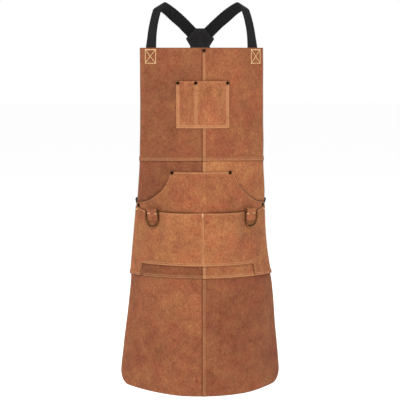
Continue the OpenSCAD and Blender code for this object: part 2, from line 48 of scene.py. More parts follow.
R_T = [[-1300, 286], [-1205, 286], [-1000, 272], [-860, 256], [-700, 236], [-610, 236], [-520, 262], [-420, 284], [-138, 290], [0, 290]]
Y_T = [[-1300, -120], [-1205, -120], [-900, -122], [-620, -124], [-450, -123], [-330, -119], [-220, -110], [-138, -98], [0, -98]]
W_T = [[-1300, 1], [-1165, 1], [-1108, .94], [-1003, .77], [-900, .645], [-850, .59], [-748, .49], [-697, .44], [-620, .32], [-569, .19], [-518, .09], [-480, .05], [-380, .01], [-300, 0], [0, 0]]
N_T = [[-1300, 0], [-870, 0], [-810, 5], [-770, 8], [-700, 9], [-665, 9], [-640, 8.2], [-615, 5], [-590, 1.2], [-575, 0], [0, 0]]
T, GAP = 1.6, 0.3
ST = T + GAP
Z_BIB, Z_HEM, LAP = -138.0, -1205.0, 11.0

def rad(z): return table(z, R_T, 16)
def front(z): return table(z, Y_T, 16)
def narrow(s, z, soft=12): return np.where(np.asarray(s) > 0, table(z, N_T, soft) * (np.asarray(s) / 250) ** 2, 0)
def half(z): return 204.5 + 100.5 * table(z, W_T, 12)
def clamp(u): return np.clip(u, 0, 1)
def ease(u):
    c = clamp(u)
    return c * c * (3 - 2 * c)
def lerp(a, b, u): return a + (b - a) * u

# quiet zones where hardware is fixed, so that the leather lies where its rivets and tabs are
QUIET = [(-74, -244, 26), (-20, -244, 26), (76, -244, 26), (-93, -514, 26), (84, -514, 26), (-223, -621, 34), (223, -621, 34),
         (5, -147, 26), (-156, -645, 46), (156, -645, 46), (-164, -160, 40), (164, -160, 40)]
PH = RNG.uniform(0, 2 * math.pi, 24)
def ripple(s, z):
    """Slow waves that all layers share, in mm."""
    r = 0.55 * np.sin(s / 31 + z / 140 + PH[0]) + 0.5 * np.sin(z / 38 + s / 120 + PH[1]) + 0.4 * np.sin((s - z) / 47 + PH[2]) \
        + 0.3 * np.sin(s / 17 - z / 61 + PH[3]) + 0.25 * np.sin(z / 19 + s / 43 + PH[4]) + 0.16 * np.sin(s / 9 + z / 33 + PH[5]) * np.sin(z / 27 + PH[6])
    low = ease((-700 - z) / 350)
    r = r * (0.75 + 0.5 * low) + low * (2.6 * np.sin(s / 62 + PH[7]) + 1.5 * np.sin(s / 34 + z / 260 + PH[8])) * ease((-860 - z) / 330)
    q = np.ones_like(r)
    for a, b, c in QUIET:
        q = q * ease((np.hypot(s - a, z - b) - 0.35 * c) / (0.65 * c))
    top = ease((Z_BIB - 4 - z) / 60)
    return r * q * (0.25 + 0.75 * top)

def surf(s, z, o, wave=True):
    s, z, o = np.broadcast_arrays(np.asarray(s, float), np.asarray(z, float), np.asarray(o, float))
    if wave:
        o = o + ripple(s, z)
    r = rad(z)
    a = s / r
    return np.stack([(r + o) * np.sin(a) - narrow(s, z), front(z) + r - (r + o) * np.cos(a), z], -1)

def normal(s, z):
    e = 0.5
    a = surf(s + e, z, 0) - surf(s - e, z, 0)
    b = surf(s, np.asarray(z) + e, 0) - surf(s, np.asarray(z) - e, 0)
    n = np.cross(b, a)
    n = np.where((n[..., 1:2] > 0), -n, n)
    return n / np.linalg.norm(n, axis=-1, keepdims=True)

def seam1(s): return -477 - 5.5 * (s / 206) ** 2
def seam2(s): return -836.5 - 4 * (s / 256) ** 2
def corner(k, r=44.0): return np.where(k > 0, r - np.sqrt(np.maximum(0, r * r - k * k)), 0)
def hem(s): return Z_HEM + 0.00018 * s * s + corner(np.abs(s) - (half(Z_HEM) - 44))
def lap_own(s): return ease((14.2 - s) / 4.5)
def lap_over(s): return np.where(s < 5, ease((s + 5.2) / 4.5), ease((14.2 - s) / 4.5))
def tier_lap(d): return ease((LAP + 5.2 - d) / 4.5)
def low(kind, s): return seam1(s) if kind == 0 else seam2(s) if kind == 1 else hem(s)
def high(kind, s): return s * 0 + Z_BIB if kind == 0 else seam1(s) + LAP - 0.6 if kind == 1 else seam2(s) + LAP - 0.6
def lift(kind, right, s, z):
    return ST * ((lap_own(s) if right else 0) + (0 if kind == 2 else tier_lap(z - low(kind, s)) * (1 + lap_over(s))))
def swell(s, a, b, m): return ease((s - a) / m) * ease((b - s) / m)

CH_L, CH_R, CH_D, CH_TOP, CH_LOW = -79.5, 81.5, -19.5, -238.0, -380.0
def chest_lift(s, z):
    w = np.where(s < CH_D, swell(s, CH_L + 10.5, CH_D - 5.2, 17), swell(s, CH_D + 5.2, CH_R - 10.5, 28))
    return ST * (1 + lap_over(s)) + 9 * w * ease((z - CH_LOW - 6) / 60)
HAND_LOW, TOOL_TOP, TOOL_LOW = -792.0, -635.5, -799.0
MOUTH = [[0, -511.5], [98, -511.5], [103, -530], [108, -545], [116, -559], [127, -571], [140, -582], [154, -591.5], [173, -600], [194, -606], [215, -610], [236, -612.5], [300, -613]]
def hand_edge(s):
    m = np.abs(s)
    return np.where(m <= 97, -511.5, table(m, MOUTH, 2.5))
def hand_swell(s, z):
    k = ease((-585 - z) / 45)
    return ease((lerp(half(z) - 8, 140, k) - np.abs(s)) / lerp(70, 50, k)) * ease((-520 - z) / 40) * ease((z - HAND_LOW - 8) / 90)
def hand_lift(s, z): return ST * (1 + lap_over(s)) + 0.45 + 9 * hand_swell(s, z)
def tail(s): return np.where(s < -199, clamp((-199 - s) / 4), np.where(s > 172, clamp((s - 172) / 4), 0))
def tool_rim(s): return TOOL_TOP + 10 * ease((np.abs(s) - 189) / 48)
def tool_edge(s): return lerp(TOOL_LOW, seam2(s) + 0.8, tail(s))
def tool_lift(s, z):
    m = np.abs(s)
    return hand_lift(s, z) + ST + 0.2 + 9 * swell(m, 5, 140, 44) * ease((z - TOOL_LOW - 8) / 75) \
        + 4.3 * ease((m - 129) / 6) * ease((184 - m) / 6) * ease((z + 676) / 9) + ST * tier_lap(z - seam2(s)) * (1 + lap_over(s))

# ------------------------------------------------------------------ meshes
MM = 0.001
def mesh_object(name, verts, quads, smooth=True):
    """One object from vertices in mm and four-cornered faces; a face may repeat its last corner to be a triangle."""
    verts = np.asarray(verts, float).reshape(-1, 3) * MM
    quads = np.asarray(quads, int).reshape(-1, 4)
    me = bpy.data.meshes.new(name)
    tri = quads[:, 2] == quads[:, 3]
    if tri.any():
        me.from_pydata(verts.tolist(), [], [list(q[:3]) if t else list(q) for q, t in zip(quads.tolist(), tri)])
    else:
        me.vertices.add(len(verts))
        me.vertices.foreach_set("co", verts.astype(np.float32).ravel())
        me.loops.add(quads.size)
        me.loops.foreach_set("vertex_index", quads.astype(np.int32).ravel())
        me.polygons.add(len(quads))
        me.polygons.foreach_set("loop_start", np.arange(0, quads.size, 4, dtype=np.int32))
        me.polygons.foreach_set("loop_total", np.full(len(quads), 4, np.int32))
        me.update(calc_edges=True)
    me.polygons.foreach_set("use_smooth", np.full(len(me.polygons), smooth, bool))
    me.validate()
    me.update()
    ob = bpy.data.objects.new(name, me)
    bpy.context.scene.collection.objects.link(ob)
    return ob

def attribute(ob, name, values):
    a = ob.data.attributes.new(name, "FLOAT", "POINT")
    a.data.foreach_set("value", np.asarray(values, np.float32).ravel())

def spaced(a, b, step, edge=0.5):
    """Stations from a to b, with one close to each end."""
    n = max(2, int(round((b - a - 2 * edge) / step)))
    return np.concatenate([[a], np.linspace(a + edge, b - edge, n + 1), [b]])

def leather(name, S, Z, O, mat, fields=None, edge_soft=0.42):
    """A closed leather sheet over a grid, i to the right and j upwards; its cut edges are softened."""
    I, J = S.shape[0] - 1, S.shape[1] - 1
    rim = np.zeros(S.shape, bool)
    rim[0], rim[-1], rim[:, 0], rim[:, -1] = True, True, True, True
    inner = surf(S, Z, O + np.where(rim, edge_soft * 0.7, 0))
    outer = surf(S, Z, O + T - np.where(rim, edge_soft, 0))
    n = S.size
    idx = np.arange(n).reshape(S.shape)
    a, b, c, d = idx[:-1, :-1], idx[:-1, 1:], idx[1:, :-1], idx[1:, 1:]
    q = [np.stack([a, b, d, c], -1).reshape(-1, 4)]                       # inner face, towards +Y
    q.append(np.stack([a + n, c + n, d + n, b + n], -1).reshape(-1, 4))   # outer face
    for line, flip in ((idx[:, 0], False), (idx[:, -1], True), (idx[0], True), (idx[-1], False)):
        u, v = line[:-1], line[1:]
        f = np.stack([u, v, v + n, u + n], -1)
        q.append(f[:, ::-1] if flip else f)
    ob = mesh_object(name, np.concatenate([inner.reshape(-1, 3), outer.reshape(-1, 3)]), np.concatenate(q))
    # distance from the cut edge, as a mask
    rimf = np.tile(rim.astype(float).ravel(), 2)
    attribute(ob, "cut", rimf)
    outside = np.concatenate([np.zeros(n), np.ones(n)])
    for key in ("wear", "dark", "pink"):
        f = (fields or {}).get(key)
        v = np.zeros(n) if f is None else np.broadcast_to(f, S.shape).ravel().astype(float)
        if key == "dark":    # painted shade: a dark contact ring on the leather round every rivet cap
            for a0, b0, c0 in QUIET[:8]:
                v = v + 1.1 * np.exp(-(np.maximum(0, np.hypot(S.ravel() - a0, Z.ravel() - b0) - 4.8) / 1.9) ** 2)
        attribute(ob, key, np.concatenate([v * 0.4, v]))
    attribute(ob, "skin", outside)
    ob.data.materials.append(mat)
    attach(ob, "apron")
    return ob

def tubes(centres, tangents, normals, radii, squash=1.0, sides=6):
    """Rows of closed tubes: centres (M, R, 3), radii (M, R)."""
    M, R = centres.shape[:2]
    b = np.cross(tangents, normals)
    b /= np.linalg.norm(b, axis=-1, keepdims=True)
    nn = np.cross(b, tangents)
    ph = np.arange(sides) * 2 * math.pi / sides
    ring = radii[..., None, None] * (np.cos(ph)[:, None] * b[..., None, :] + squash * np.sin(ph)[:, None] * nn[..., None, :])
    verts = (centres[..., None, :] + ring).reshape(-1, 3)
    base = (np.arange(M)[:, None, None] * R + np.arange(R - 1)[None, :, None]) * sides + np.arange(sides)[None, None, :]
    nxt = np.roll(np.arange(sides), -1) - np.arange(sides)
    body = np.stack([base, base + nxt, base + nxt + sides, base + sides], -1).reshape(-1, 4)
    ends = []
    for off, flip in ((0, True), ((R - 1) * sides, False)):
        s0 = np.arange(M) * R * sides + off
        if sides == 6:
            for k in ((0, 1, 2, 3), (0, 3, 4, 5)):
                f = np.stack([s0 + i for i in k], -1)
                ends.append(f[:, ::-1] if flip else f)
        else:
            for k in ((0, 1, 2, 3), (0, 3, 4, 7), (4, 5, 6, 7)):
                f = np.stack([s0 + i for i in k], -1)
                ends.append(f[:, ::-1] if flip else f)
    return verts, np.concatenate([body] + ends)

def along(pts, nrm, step=1.0):
    """Even stations along a polyline."""
    pts, nrm = np.asarray(pts, float), np.asarray(nrm, float)
    L = np.concatenate([[0], np.cumsum(np.linalg.norm(np.diff(pts, axis=0), axis=1))])
    return L, (lambda x: np.stack([np.interp(x, L, pts[:, k]) for k in range(3)], -1)), (lambda x: np.stack([np.interp(x, L, nrm[:, k]) for k in range(3)], -1))

class Thread:
    """Collects stitches that share one thread colour into one object."""
    def __init__(self): self.v, self.q, self.n = [], [], 0
    def add(self, verts, quads):
        self.v.append(verts); self.q.append(quads + self.n); self.n += len(verts)
    def run(self, pts, nrm, pitch=3.4, length=2.7, r=0.42, high=0.35, jitter=0.12):
        L, P, N = along(pts, nrm)
        if L[-1] < length: return
        k = max(1, int((L[-1] - length) / pitch) + 1)
        start = np.linspace(0, L[-1] - length, k)
        tau = np.array([0, .12, .34, .66, .88, 1.0])
        x = start[:, None] + tau[None] * length
        p, n = P(x), N(x)
        n /= np.linalg.norm(n, axis=-1, keepdims=True)
        rise = np.array([-0.55, -0.05, 1, 1, -0.05, -0.55]) * high
        side = np.cross(p[:, -1] - p[:, 0], n[:, 2])
        side /= np.linalg.norm(side, axis=-1, keepdims=True)
        wob = RNG.uniform(-jitter, jitter, (k, 2))
        p = p + n * rise[None, :, None] + side[:, None, :] * (wob[:, :1] + (wob[:, 1:] - wob[:, :1]) * tau[None])[..., None]
        t = np.gradient(p, axis=1)
        t /= np.linalg.norm(t, axis=-1, keepdims=True)
        rr = np.broadcast_to(r * np.array([.55, .92, 1, 1, .92, .55]), (k, 6))
        self.add(*tubes(p, t, n, rr))
    def on(self, sz, o_fn, **kw):
        """A row of stitches along (s, z) points, over the leather whose outer lift is o_fn."""
        sz = np.asarray(sz, float)
        d = np.concatenate([[0], np.cumsum(np.hypot(*np.diff(sz, axis=0).T))])
        m = max(2, int(d[-1] / 2.0) + 1)
        x = np.linspace(0, d[-1], m)
        s, z = np.interp(x, d, sz[:, 0]), np.interp(x, d, sz[:, 1])
        self.run(surf(s, z, o_fn(s, z)), normal(s, z), **kw)
    def bar(self, s, z, o_fn, w=9.0, h=2.6, vertical=False, r=0.45):
        """A bartack: close zigzag across a short bar."""
        for k in np.arange(-w / 2, w / 2, 0.8):
            a, b = ((s + k, z - h / 2), (s + k + 0.4, z + h / 2)) if not vertical else ((s - h / 2, z + k), (s + h / 2, z + k + 0.4))
            self.on([a, b], o_fn, pitch=h, length=h * 0.98, r=r, high=0.4)
    def make(self, name, mat, body="apron"):
        ob = mesh_object(name, np.concatenate(self.v), np.concatenate(self.q))
        ob.data.materials.append(mat)
        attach(ob, body)
        return ob

def lathe(profile, sides=40):
    """Profile of (radius, height) from the bottom axis point to the top one."""
    pr = np.asarray(profile, float)
    ph = np.arange(sides) * 2 * math.pi / sides
    v, q = [[0, 0, pr[0, 1]]], []
    for r, h in pr[1:-1]:
        v += [[r * math.cos(p), r * math.sin(p), h] for p in ph]
    v.append([0, 0, pr[-1, 1]])
    m = len(pr) - 2
    for i in range(sides):
        j = (i + 1) % sides
        q.append([0, 1 + j, 1 + i, 1 + i])
        for k in range(m - 1):
            a, b = 1 + k * sides, 1 + (k + 1) * sides
            q.append([a + i, a + j, b + j, b + i])
        q.append([1 + (m - 1) * sides + i, 1 + (m - 1) * sides + j, len(v) - 1, len(v) - 1])
    return np.array(v), np.array(q)

def placed(v, origin, n, up=(0, 0, 1)):
    n = np.asarray(n, float) / np.linalg.norm(n)
    x = np.cross(up, n); x /= np.linalg.norm(x)
    y = np.cross(n, x)
    return np.asarray(origin) + v[:, :1] * x + v[:, 1:2] * y + v[:, 2:3] * n

def join(parts):
    V, Q, n = [], [], 0
    for v, q in parts:
        V.append(v); Q.append(np.asarray(q) + n); n += len(v)
    return np.concatenate(V), np.concatenate(Q)

# ------------------------------------------------------------------ materials
def lin(r, g, b): return tuple(((c / 255 / 12.92) if c / 255 <= 0.04045 else ((c / 255 + 0.055) / 1.055) ** 2.4) for c in (r, g, b)) + (1,)

class Nodes:
    def __init__(self, name):
        self.m = bpy.data.materials.new(name)
        self.m.use_nodes = True
        self.t = self.m.node_tree
        self.b = self.t.nodes["Principled BSDF"]
        self.k = 0
    def new(self, kind, **kw):
        n = self.t.nodes.new(kind)
        self.k += 1
        n.location = (-200 - 40 * self.k, 300 - 60 * self.k)
        for a, v in kw.items(): setattr(n, a, v)
        return n
    def link(self, a, b): self.t.links.new(a, b)
    def put(self, sock, v):
        if hasattr(v, "is_linked"): self.link(v, sock)
        else: sock.default_value = v
    def coords(self, scale=(1, 1, 1), loc=(0, 0, 0), rot=(0, 0, 0)):
        c, m = self.new("ShaderNodeTexCoord"), self.new("ShaderNodeMapping")
        self.link(c.outputs["Object"], m.inputs["Vector"])
        m.inputs["Scale"].default_value, m.inputs["Location"].default_value, m.inputs["Rotation"].default_value = scale, loc, rot
        return m.outputs[0]
    def noise(self, vec, scale, detail=4, rough=0.55, distort=0.0):
        n = self.new("ShaderNodeTexNoise")
        self.link(vec, n.inputs["Vector"])
        n.inputs["Scale"].default_value, n.inputs["Detail"].default_value = scale, detail
        n.inputs["Roughness"].default_value, n.inputs["Distortion"].default_value = rough, distort
        return n.outputs["Fac"]
    def math(self, op, a, b=0.0, c=0.0, clampit=False):
        n = self.new("ShaderNodeMath", operation=op, use_clamp=clampit)
        for s, v in zip(n.inputs, (a, b, c)): self.put(s, v)
        return n.outputs[0]
    def fit(self, v, a, b, c=0.0, d=1.0):
        n = self.new("ShaderNodeMapRange")
        for s, x in zip(n.inputs, (v, a, b, c, d)): self.put(s, x)
        return n.outputs[0]
    def mix(self, f, a, b, mode="MIX"):
        n = self.new("ShaderNodeMix", data_type="RGBA", blend_type=mode)
        for s, v in ((n.inputs[0], f), (n.inputs[6], a), (n.inputs[7], b)): self.put(s, v)
        return n.outputs[2]
    def ramp(self, f, stops):
        n = self.new("ShaderNodeValToRGB")
        e = n.color_ramp.elements
        while len(e) < len(stops): e.new(0.5)
        for x, (p, c) in zip(e, stops): x.position, x.color = p, c
        self.link(f, n.inputs[0])
        return n.outputs[0]
    def attr(self, name):
        n = self.new("ShaderNodeAttribute", attribute_name=name)
        return n.outputs["Fac"]
    def bump(self, h, strength, dist, below=None):
        n = self.new("ShaderNodeBump")
        n.inputs["Strength"].default_value, n.inputs["Distance"].default_value = strength, dist
        self.link(h, n.inputs["Height"])
        if below is not None: self.link(below, n.inputs["Normal"])
        return n.outputs[0]

def scaled(c, k, warm=0.0):
    return (min(1, c[0] * k * (1 + warm)), min(1, c[1] * k), min(1, c[2] * k * (1 - warm)), 1)

def tinted(c, r, g, b): return (min(1, c[0] * r), min(1, c[1] * g), min(1, c[2] * b), 1)

GAIN = (0.64, 0.605, 0.55)
def suede(name, rgb, seed, contrast=1.0):
    g = Nodes(name)
    base = tuple(c * k for c, k in zip(lin(*rgb)[:3], GAIN)) + (1,)
    loc = (seed * 1.37, seed * 2.11, seed * 0.73)
    p = g.coords(loc=loc)
    brushed = g.coords(scale=(1, 1, 0.28), loc=loc, rot=(0, 0.22 * math.sin(seed * 5), 0))
    cloud = g.noise(p, 7.5, 5, 0.6, 0.4)
    blot = g.noise(p, 34, 6, 0.62, 0.3)
    fleck = g.noise(g.coords(scale=(1, 1, 0.62), loc=loc, rot=(0, 0.5, 0)), 230, 5, 0.7)
    fibre = g.noise(brushed, 620, 3, 0.6)
    nap = g.noise(p, 1500, 2, 0.6)
    v = g.math("ADD", g.math("MULTIPLY", cloud, 0.24), g.math("ADD", g.math("MULTIPLY", blot, 0.24), g.math("MULTIPLY", fleck, 0.52)))
    k = contrast
    col = g.ramp(v, [(0.40, tinted(base, 0.66, 0.58, 0.62)), (0.46, tinted(base, 0.90, 0.84, 0.86)), (0.53, tinted(base, 1.10, 1.13, 1.10)), (0.60, tinted(base, 1.36, 1.52, 1.46))])
    patch = g.noise(p, 16, 4, 0.6, 0.6)
    col = g.mix(1.0, col, g.ramp(patch, [(0.36, (1.02, 0.90, 0.92, 1)), (0.5, (1, 1, 1, 1)), (0.64, (1.0, 1.08, 1.0, 1))]), "MULTIPLY")
    col = g.mix(1.0, col, g.ramp(fibre, [(0.3, (0.80, 0.79, 0.78, 1)), (0.5, (1, 1, 1, 1)), (0.72, (1.0, 1.0, 1.0, 1))]), "MULTIPLY")
    col = g.mix(1.0, col, g.ramp(nap, [(0.3, (0.86, 0.85, 0.84, 1)), (0.6, (1, 1, 1, 1))]), "MULTIPLY")
    # paler, drier bands that are pressed flat along stitched edges
    breakup = g.fit(g.noise(p, 90, 4, 0.6), 0.35, 0.6)
    wear = g.math("MULTIPLY", g.attr("wear"), g.math("ADD", 0.45, g.math("MULTIPLY", breakup, 0.55)), clampit=True)
    pale = (min(1, base[0] * 1.34), min(1, base[1] * 1.68), min(1, base[2] * 1.72), 1)
    col = g.mix(wear, col, pale)
    pinkish = g.math("MULTIPLY", g.attr("pink"), g.fit(g.noise(p, 60, 3), 0.4, 0.6), clampit=True)
    col = g.mix(pinkish, col, (min(1, base[0] * 1.25), base[1] * 1.12, base[2] * 1.25, 1))
    # the 'dark' attribute: darker raw cut edges, plus painted shade beside laps, pocket edges, rivet caps and the ring
    # tabs
    col = g.mix(g.math("MULTIPLY", g.attr("dark"), 0.8, clampit=True), col, (base[0] * 0.42, base[1] * 0.34, base[2] * 0.3, 1))
    col = g.mix(g.math("MULTIPLY", g.attr("cut"), 0.55), col, (base[0] * 0.5, base[1] * 0.45, base[2] * 0.42, 1))
    g.link(col, g.b.inputs["Base Color"])
    g.b.inputs["Roughness"].default_value = 0.93
    g.b.inputs["Specular IOR Level"].default_value = 0.18
    g.b.inputs["Sheen Weight"].default_value = 0.06
    g.b.inputs["Sheen Roughness"].default_value = 0.5
    g.b.inputs["Sheen Tint"].default_value = (1.0, 0.82, 0.66, 1)
    h1 = g.bump(blot, 0.35, 0.0012)
    h2 = g.bump(fleck, 0.5, 0.0006, h1)
    h3 = g.bump(g.math("ADD", fibre, nap), 0.55, 0.00022, h2)
    g.link(h3, g.b.inputs["Normal"])
    return g.m

def thread_mat(name, rgb):
    g = Nodes(name)
    c = lin(*rgb)
    p = g.coords()
    n = g.noise(p, 900, 2)
    g.link(g.mix(g.fit(n, 0.35, 0.65), scaled(c, 0.72), scaled(c, 1.12)), g.b.inputs["Base Color"])
    w = g.new("ShaderNodeTexWave", wave_type="BANDS", bands_direction="DIAGONAL")
    g.link(p, w.inputs["Vector"]); w.inputs["Scale"].default_value = 900
    g.link(g.bump(w.outputs["Fac"], 0.4, 0.0001), g.b.inputs["Normal"])
    g.b.inputs["Roughness"].default_value = 0.6
    g.b.inputs["Sheen Weight"].default_value = 0.2
    return g.m

def webbing_mat(name):
    g = Nodes(name)
    p = g.coords()
    n = g.noise(p, 260, 4, 0.6)
    fine = g.noise(p, 2200, 2, 0.6)
    col = g.ramp(n, [(0.35, (0.003, 0.003, 0.0033, 1)), (0.62, (0.0072, 0.0072, 0.008, 1))])
    col = g.mix(g.fit(fine, 0.45, 0.75, 0, 0.55), col, (0.016, 0.016, 0.018, 1))
    g.link(col, g.b.inputs["Base Color"])
    g.b.inputs["Roughness"].default_value = 0.8
    g.b.inputs["Specular IOR Level"].default_value = 0.16
    g.b.inputs["Sheen Weight"].default_value = 0.02
    g.link(g.bump(fine, 0.5, 0.00015), g.b.inputs["Normal"])
    return g.m

def grain_mat(name):
    g = Nodes(name)
    p = g.coords()
    v = g.new("ShaderNodeTexVoronoi", feature="DISTANCE_TO_EDGE")
    g.link(p, v.inputs["Vector"]); v.inputs["Scale"].default_value = 520
    cell = g.fit(v.outputs["Distance"], 0.0, 0.12)
    n = g.noise(p, 120, 4)
    col = g.mix(cell, (0.0035, 0.0035, 0.004, 1), g.ramp(n, [(0.35, (0.0036, 0.0036, 0.004, 1)), (0.65, (0.0085, 0.0088, 0.0092, 1))]))
    g.link(col, g.b.inputs["Base Color"])
    g.b.inputs["Roughness"].default_value = 0.6
    g.b.inputs["Specular IOR Level"].default_value = 0.28
    g.link(g.bump(cell, 0.45, 0.0002, g.bump(n, 0.2, 0.0005)), g.b.inputs["Normal"])
    return g.m

def metal_mat(name, rgb=(118, 92, 62), dark=1.0):
    g = Nodes(name)
    c = lin(*rgb)
    p = g.coords()
    n = g.noise(p, 240, 5, 0.65)
    pit = g.noise(p, 1300, 3)
    col = g.ramp(n, [(0.36, scaled(c, 0.16 * dark)), (0.47, scaled(c, 0.5 * dark)), (0.58, scaled(c, 1.2 * dark)), (0.68, scaled(c, 2.6 * dark))])
    g.link(col, g.b.inputs["Base Color"])
    g.b.inputs["Metallic"].default_value = 1.0
    g.link(g.fit(n, 0.3, 0.7, 0.5, 0.24), g.b.inputs["Roughness"])
    g.link(g.bump(pit, 0.25, 0.00012), g.b.inputs["Normal"])
    return g.m

def plastic_mat(name):
    g = Nodes(name)
    p = g.coords()
    n = g.noise(p, 700, 3)
    big = g.noise(p, 60, 3)
    g.link(g.mix(g.fit(big, 0.35, 0.65), (0.010, 0.010, 0.011, 1), (0.018, 0.018, 0.019, 1)), g.b.inputs["Base Color"])
    g.link(g.fit(big, 0.3, 0.7, 0.38, 0.5), g.b.inputs["Roughness"])
    g.link(g.bump(n, 0.18, 0.00012), g.b.inputs["Normal"])
    return g.m

M = {
    "bl": suede("suede_bib_left", (152, 94, 64), 1), "br": suede("suede_bib_right", (164, 101, 69), 2),
    "wl": suede("suede_waist_left", (146, 89, 61), 3), "wr": suede("suede_waist_right", (178, 114, 77), 4),
    "sl": suede("suede_skirt_left", (163, 100, 69), 5), "sr": suede("suede_skirt_right", (151, 91, 63), 6),
    "cp": suede("suede_chest_pocket", (175, 111, 76), 7), "hp": suede("suede_hand_pocket", (171, 107, 73), 8),
    "tp": suede("suede_tool_pocket", (178, 114, 77), 9), "tab": suede("suede_tab", (166, 104, 70), 10),
    "thread": thread_mat("thread_tan", (196, 146, 100)), "pale": thread_mat("thread_beige", (226, 190, 136)), "black_thread": thread_mat("thread_black", (34, 34, 36)),
    "web": webbing_mat("webbing_black"), "yoke": grain_mat("yoke_grained_leather"), "metal": metal_mat("antique_brass_dark", (126, 82, 48), 0.72), "cap": metal_mat("antique_brass_blackened", (84, 54, 36), 0.22),
    "brass": metal_mat("antique_brass", (140, 106, 66)), "plastic": plastic_mat("buckle_plastic"),
}

# ------------------------------------------------------------------ leather panels
def stations(pts): return np.unique(np.round(np.concatenate(pts), 3))

def panel(name, kind, right, mat, flat, area=None):
    """Columns are (fixed part, share of the half width)."""
    edge = [(0.0, 0.0), (0.5, 0.0)] + [(x, 0.0) for x in np.arange(2.3, 14.3, 1.7)] if right else None
    if right:
        fixed = [0, 0.5, 2.2, 3.9, 5.6, 7.3, 9.0, 9.7, 10.7, 11.8, 12.9, 14.2]
    else:
        fixed = [-14.2, -11.5, -9, -7, -5.2, -4.1, -3, -1.9, -0.7, 1.2, 3.1, 5, 6.8, 8.5, 9]
    w = half(Z_HEM)
    shares = []
    if kind == 2:
        flatpart = (w - 44 - 14.2) / (w - 14.2)
        shares = list(np.linspace(0, flatpart, 45)[1:])
        shares += [(w - 44 + 44 * math.sin(math.radians(a)) - 14.2) / (w - 14.2) for a in (6, 12, 18, 24, 30, 36, 42, 48, 54, 60, 66, 71, 76, 80, 84, 87, 90)]
    else:
        shares = list(np.linspace(0, 1, 42)[1:-1]) + [1 - 0.5 / 200, 1]
    outer = [(14.2 * (1 - c), c) for c in shares]
    cols = [(f, 0) for f in fixed] + outer if right else [(-a, -b) for a, b in outer[::-1]] + [(f, 0) for f in fixed]
    lapz = [0, 0.5, 2.5, 4.5, 6.5, 8.5, 10.2, 11.5, 12.7, 13.9, 15.1, 16.4]
    z0 = (-300, -660, Z_HEM)[kind]
    rows = [(d, 0) for d in lapz] + [(16.4 * (1 - q), q) for q in list(np.linspace(0, 1, (68, 72, 74)[kind])[1:-1]) + [1 - 0.5 / 330, 1]]
    S, Z = [], []
    for c in cols:
        s0 = np.array(c[0] + c[1] * half(z0))
        a, b = low(kind, s0), high(kind, s0)
        z = np.array([a + r[0] + r[1] * (b - a) for r in rows], float)
        S.append(c[0] + c[1] * half(z)); Z.append(z)
    S, Z = np.array(S), np.array(Z)
    O = lift(kind, right, S, Z)
    # pale pressed bands, and painted shadow beside the laps and pockets that lie over this panel
    d = Z - low(kind, S)
    side = half(Z) - np.abs(S)
    wear = 0.8 * np.exp(-(d / 5.0) ** 2) + (0.75 * np.exp(-((S - 5.0) / 4.6) ** 2) if right else 0)
    wear = wear * (1 if kind < 2 else 0.4)
    dark = 0.8 * np.exp(-(side / 2.4) ** 2)
    # painted shadow on the left panel beside the right panel's overlapping centre edge
    if not right: dark = dark + 0.8 * np.exp(-((S + 1.2) / 2.2) ** 2)
    if kind > 0:
        up = (seam1(S) if kind == 1 else seam2(S)) - Z
        # painted shadow on this tier just below the edge of the tier that laps over it
        dark = dark + 0.8 * np.exp(-(np.abs(up + 0.5) / 2.6) ** 2)
        if kind == 1:
            de = Z - hand_edge(S)
            # painted shadow on the waist panel along the hand pocket's mouth edge, strongest on the curved mouths
            dark = dark + np.where(np.abs(S) > 97, 1.0, 0.45) * np.exp(-(np.abs(de - 0.6) / 2.8) ** 2)
    else:
        dark = dark + 0.35 * np.exp(-((Z_BIB - Z) / 1.6) ** 2) + (0.17 * np.exp(-((Z_BIB - Z) / 75) ** 2) if right else 0)
        # painted shade on the bib round the chest pocket's edges
        edge = np.maximum(np.maximum(CH_L - S, S - CH_R), np.maximum(Z - CH_TOP, CH_LOW - Z))
        dark = dark + 0.55 * np.exp(-(np.abs(edge) / 2.8) ** 2)
    if kind == 2: dark = dark + 0.4 * np.exp(-(d / 2.2) ** 2)
    pink = 0.6 * np.exp(-((S + half(Z) - 11) / 7.0) ** 2) if not right else np.zeros_like(S)
    ob = leather(name, S, Z, O, mat, {"wear": wear, "dark": dark, "pink": pink})
    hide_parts(name.replace("_leather", ""))
    return ob

bib_l = panel("bib_panel_left_leather", 0, False, M["bl"], None)
bib_r = panel("bib_panel_right_leather", 0, True, M["br"], None)
waist_l = panel("waist_panel_left_leather", 1, False, M["wl"], None)
waist_r = panel("waist_panel_right_leather", 1, True, M["wr"], None)
skirt_l = panel("skirt_panel_left_leather", 2, False, M["sl"], None)
skirt_r = panel("skirt_panel_right_leather", 2, True, M["sr"], None)

# chest pocket
cs = spaced(CH_L, CH_R, 2.4)
rs = spaced(CH_LOW, CH_TOP, 3.2)
S, Z = np.meshgrid(cs, rs, indexing="ij")
edge = np.minimum(np.minimum(S - CH_L, CH_R - S), Z - CH_LOW)
wear = 0.72 * ease((11.5 - edge) / 4.0) + 0.6 * np.exp(-((S - CH_D) / 5.0) ** 2) + 0.3 * np.exp(-((Z - CH_TOP) / 5.0) ** 2)
chest = leather("chest_pocket_leather", S, Z, chest_lift(S, Z), M["cp"], {"wear": np.clip(wear, 0, 1)})
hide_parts("chest_pocket")

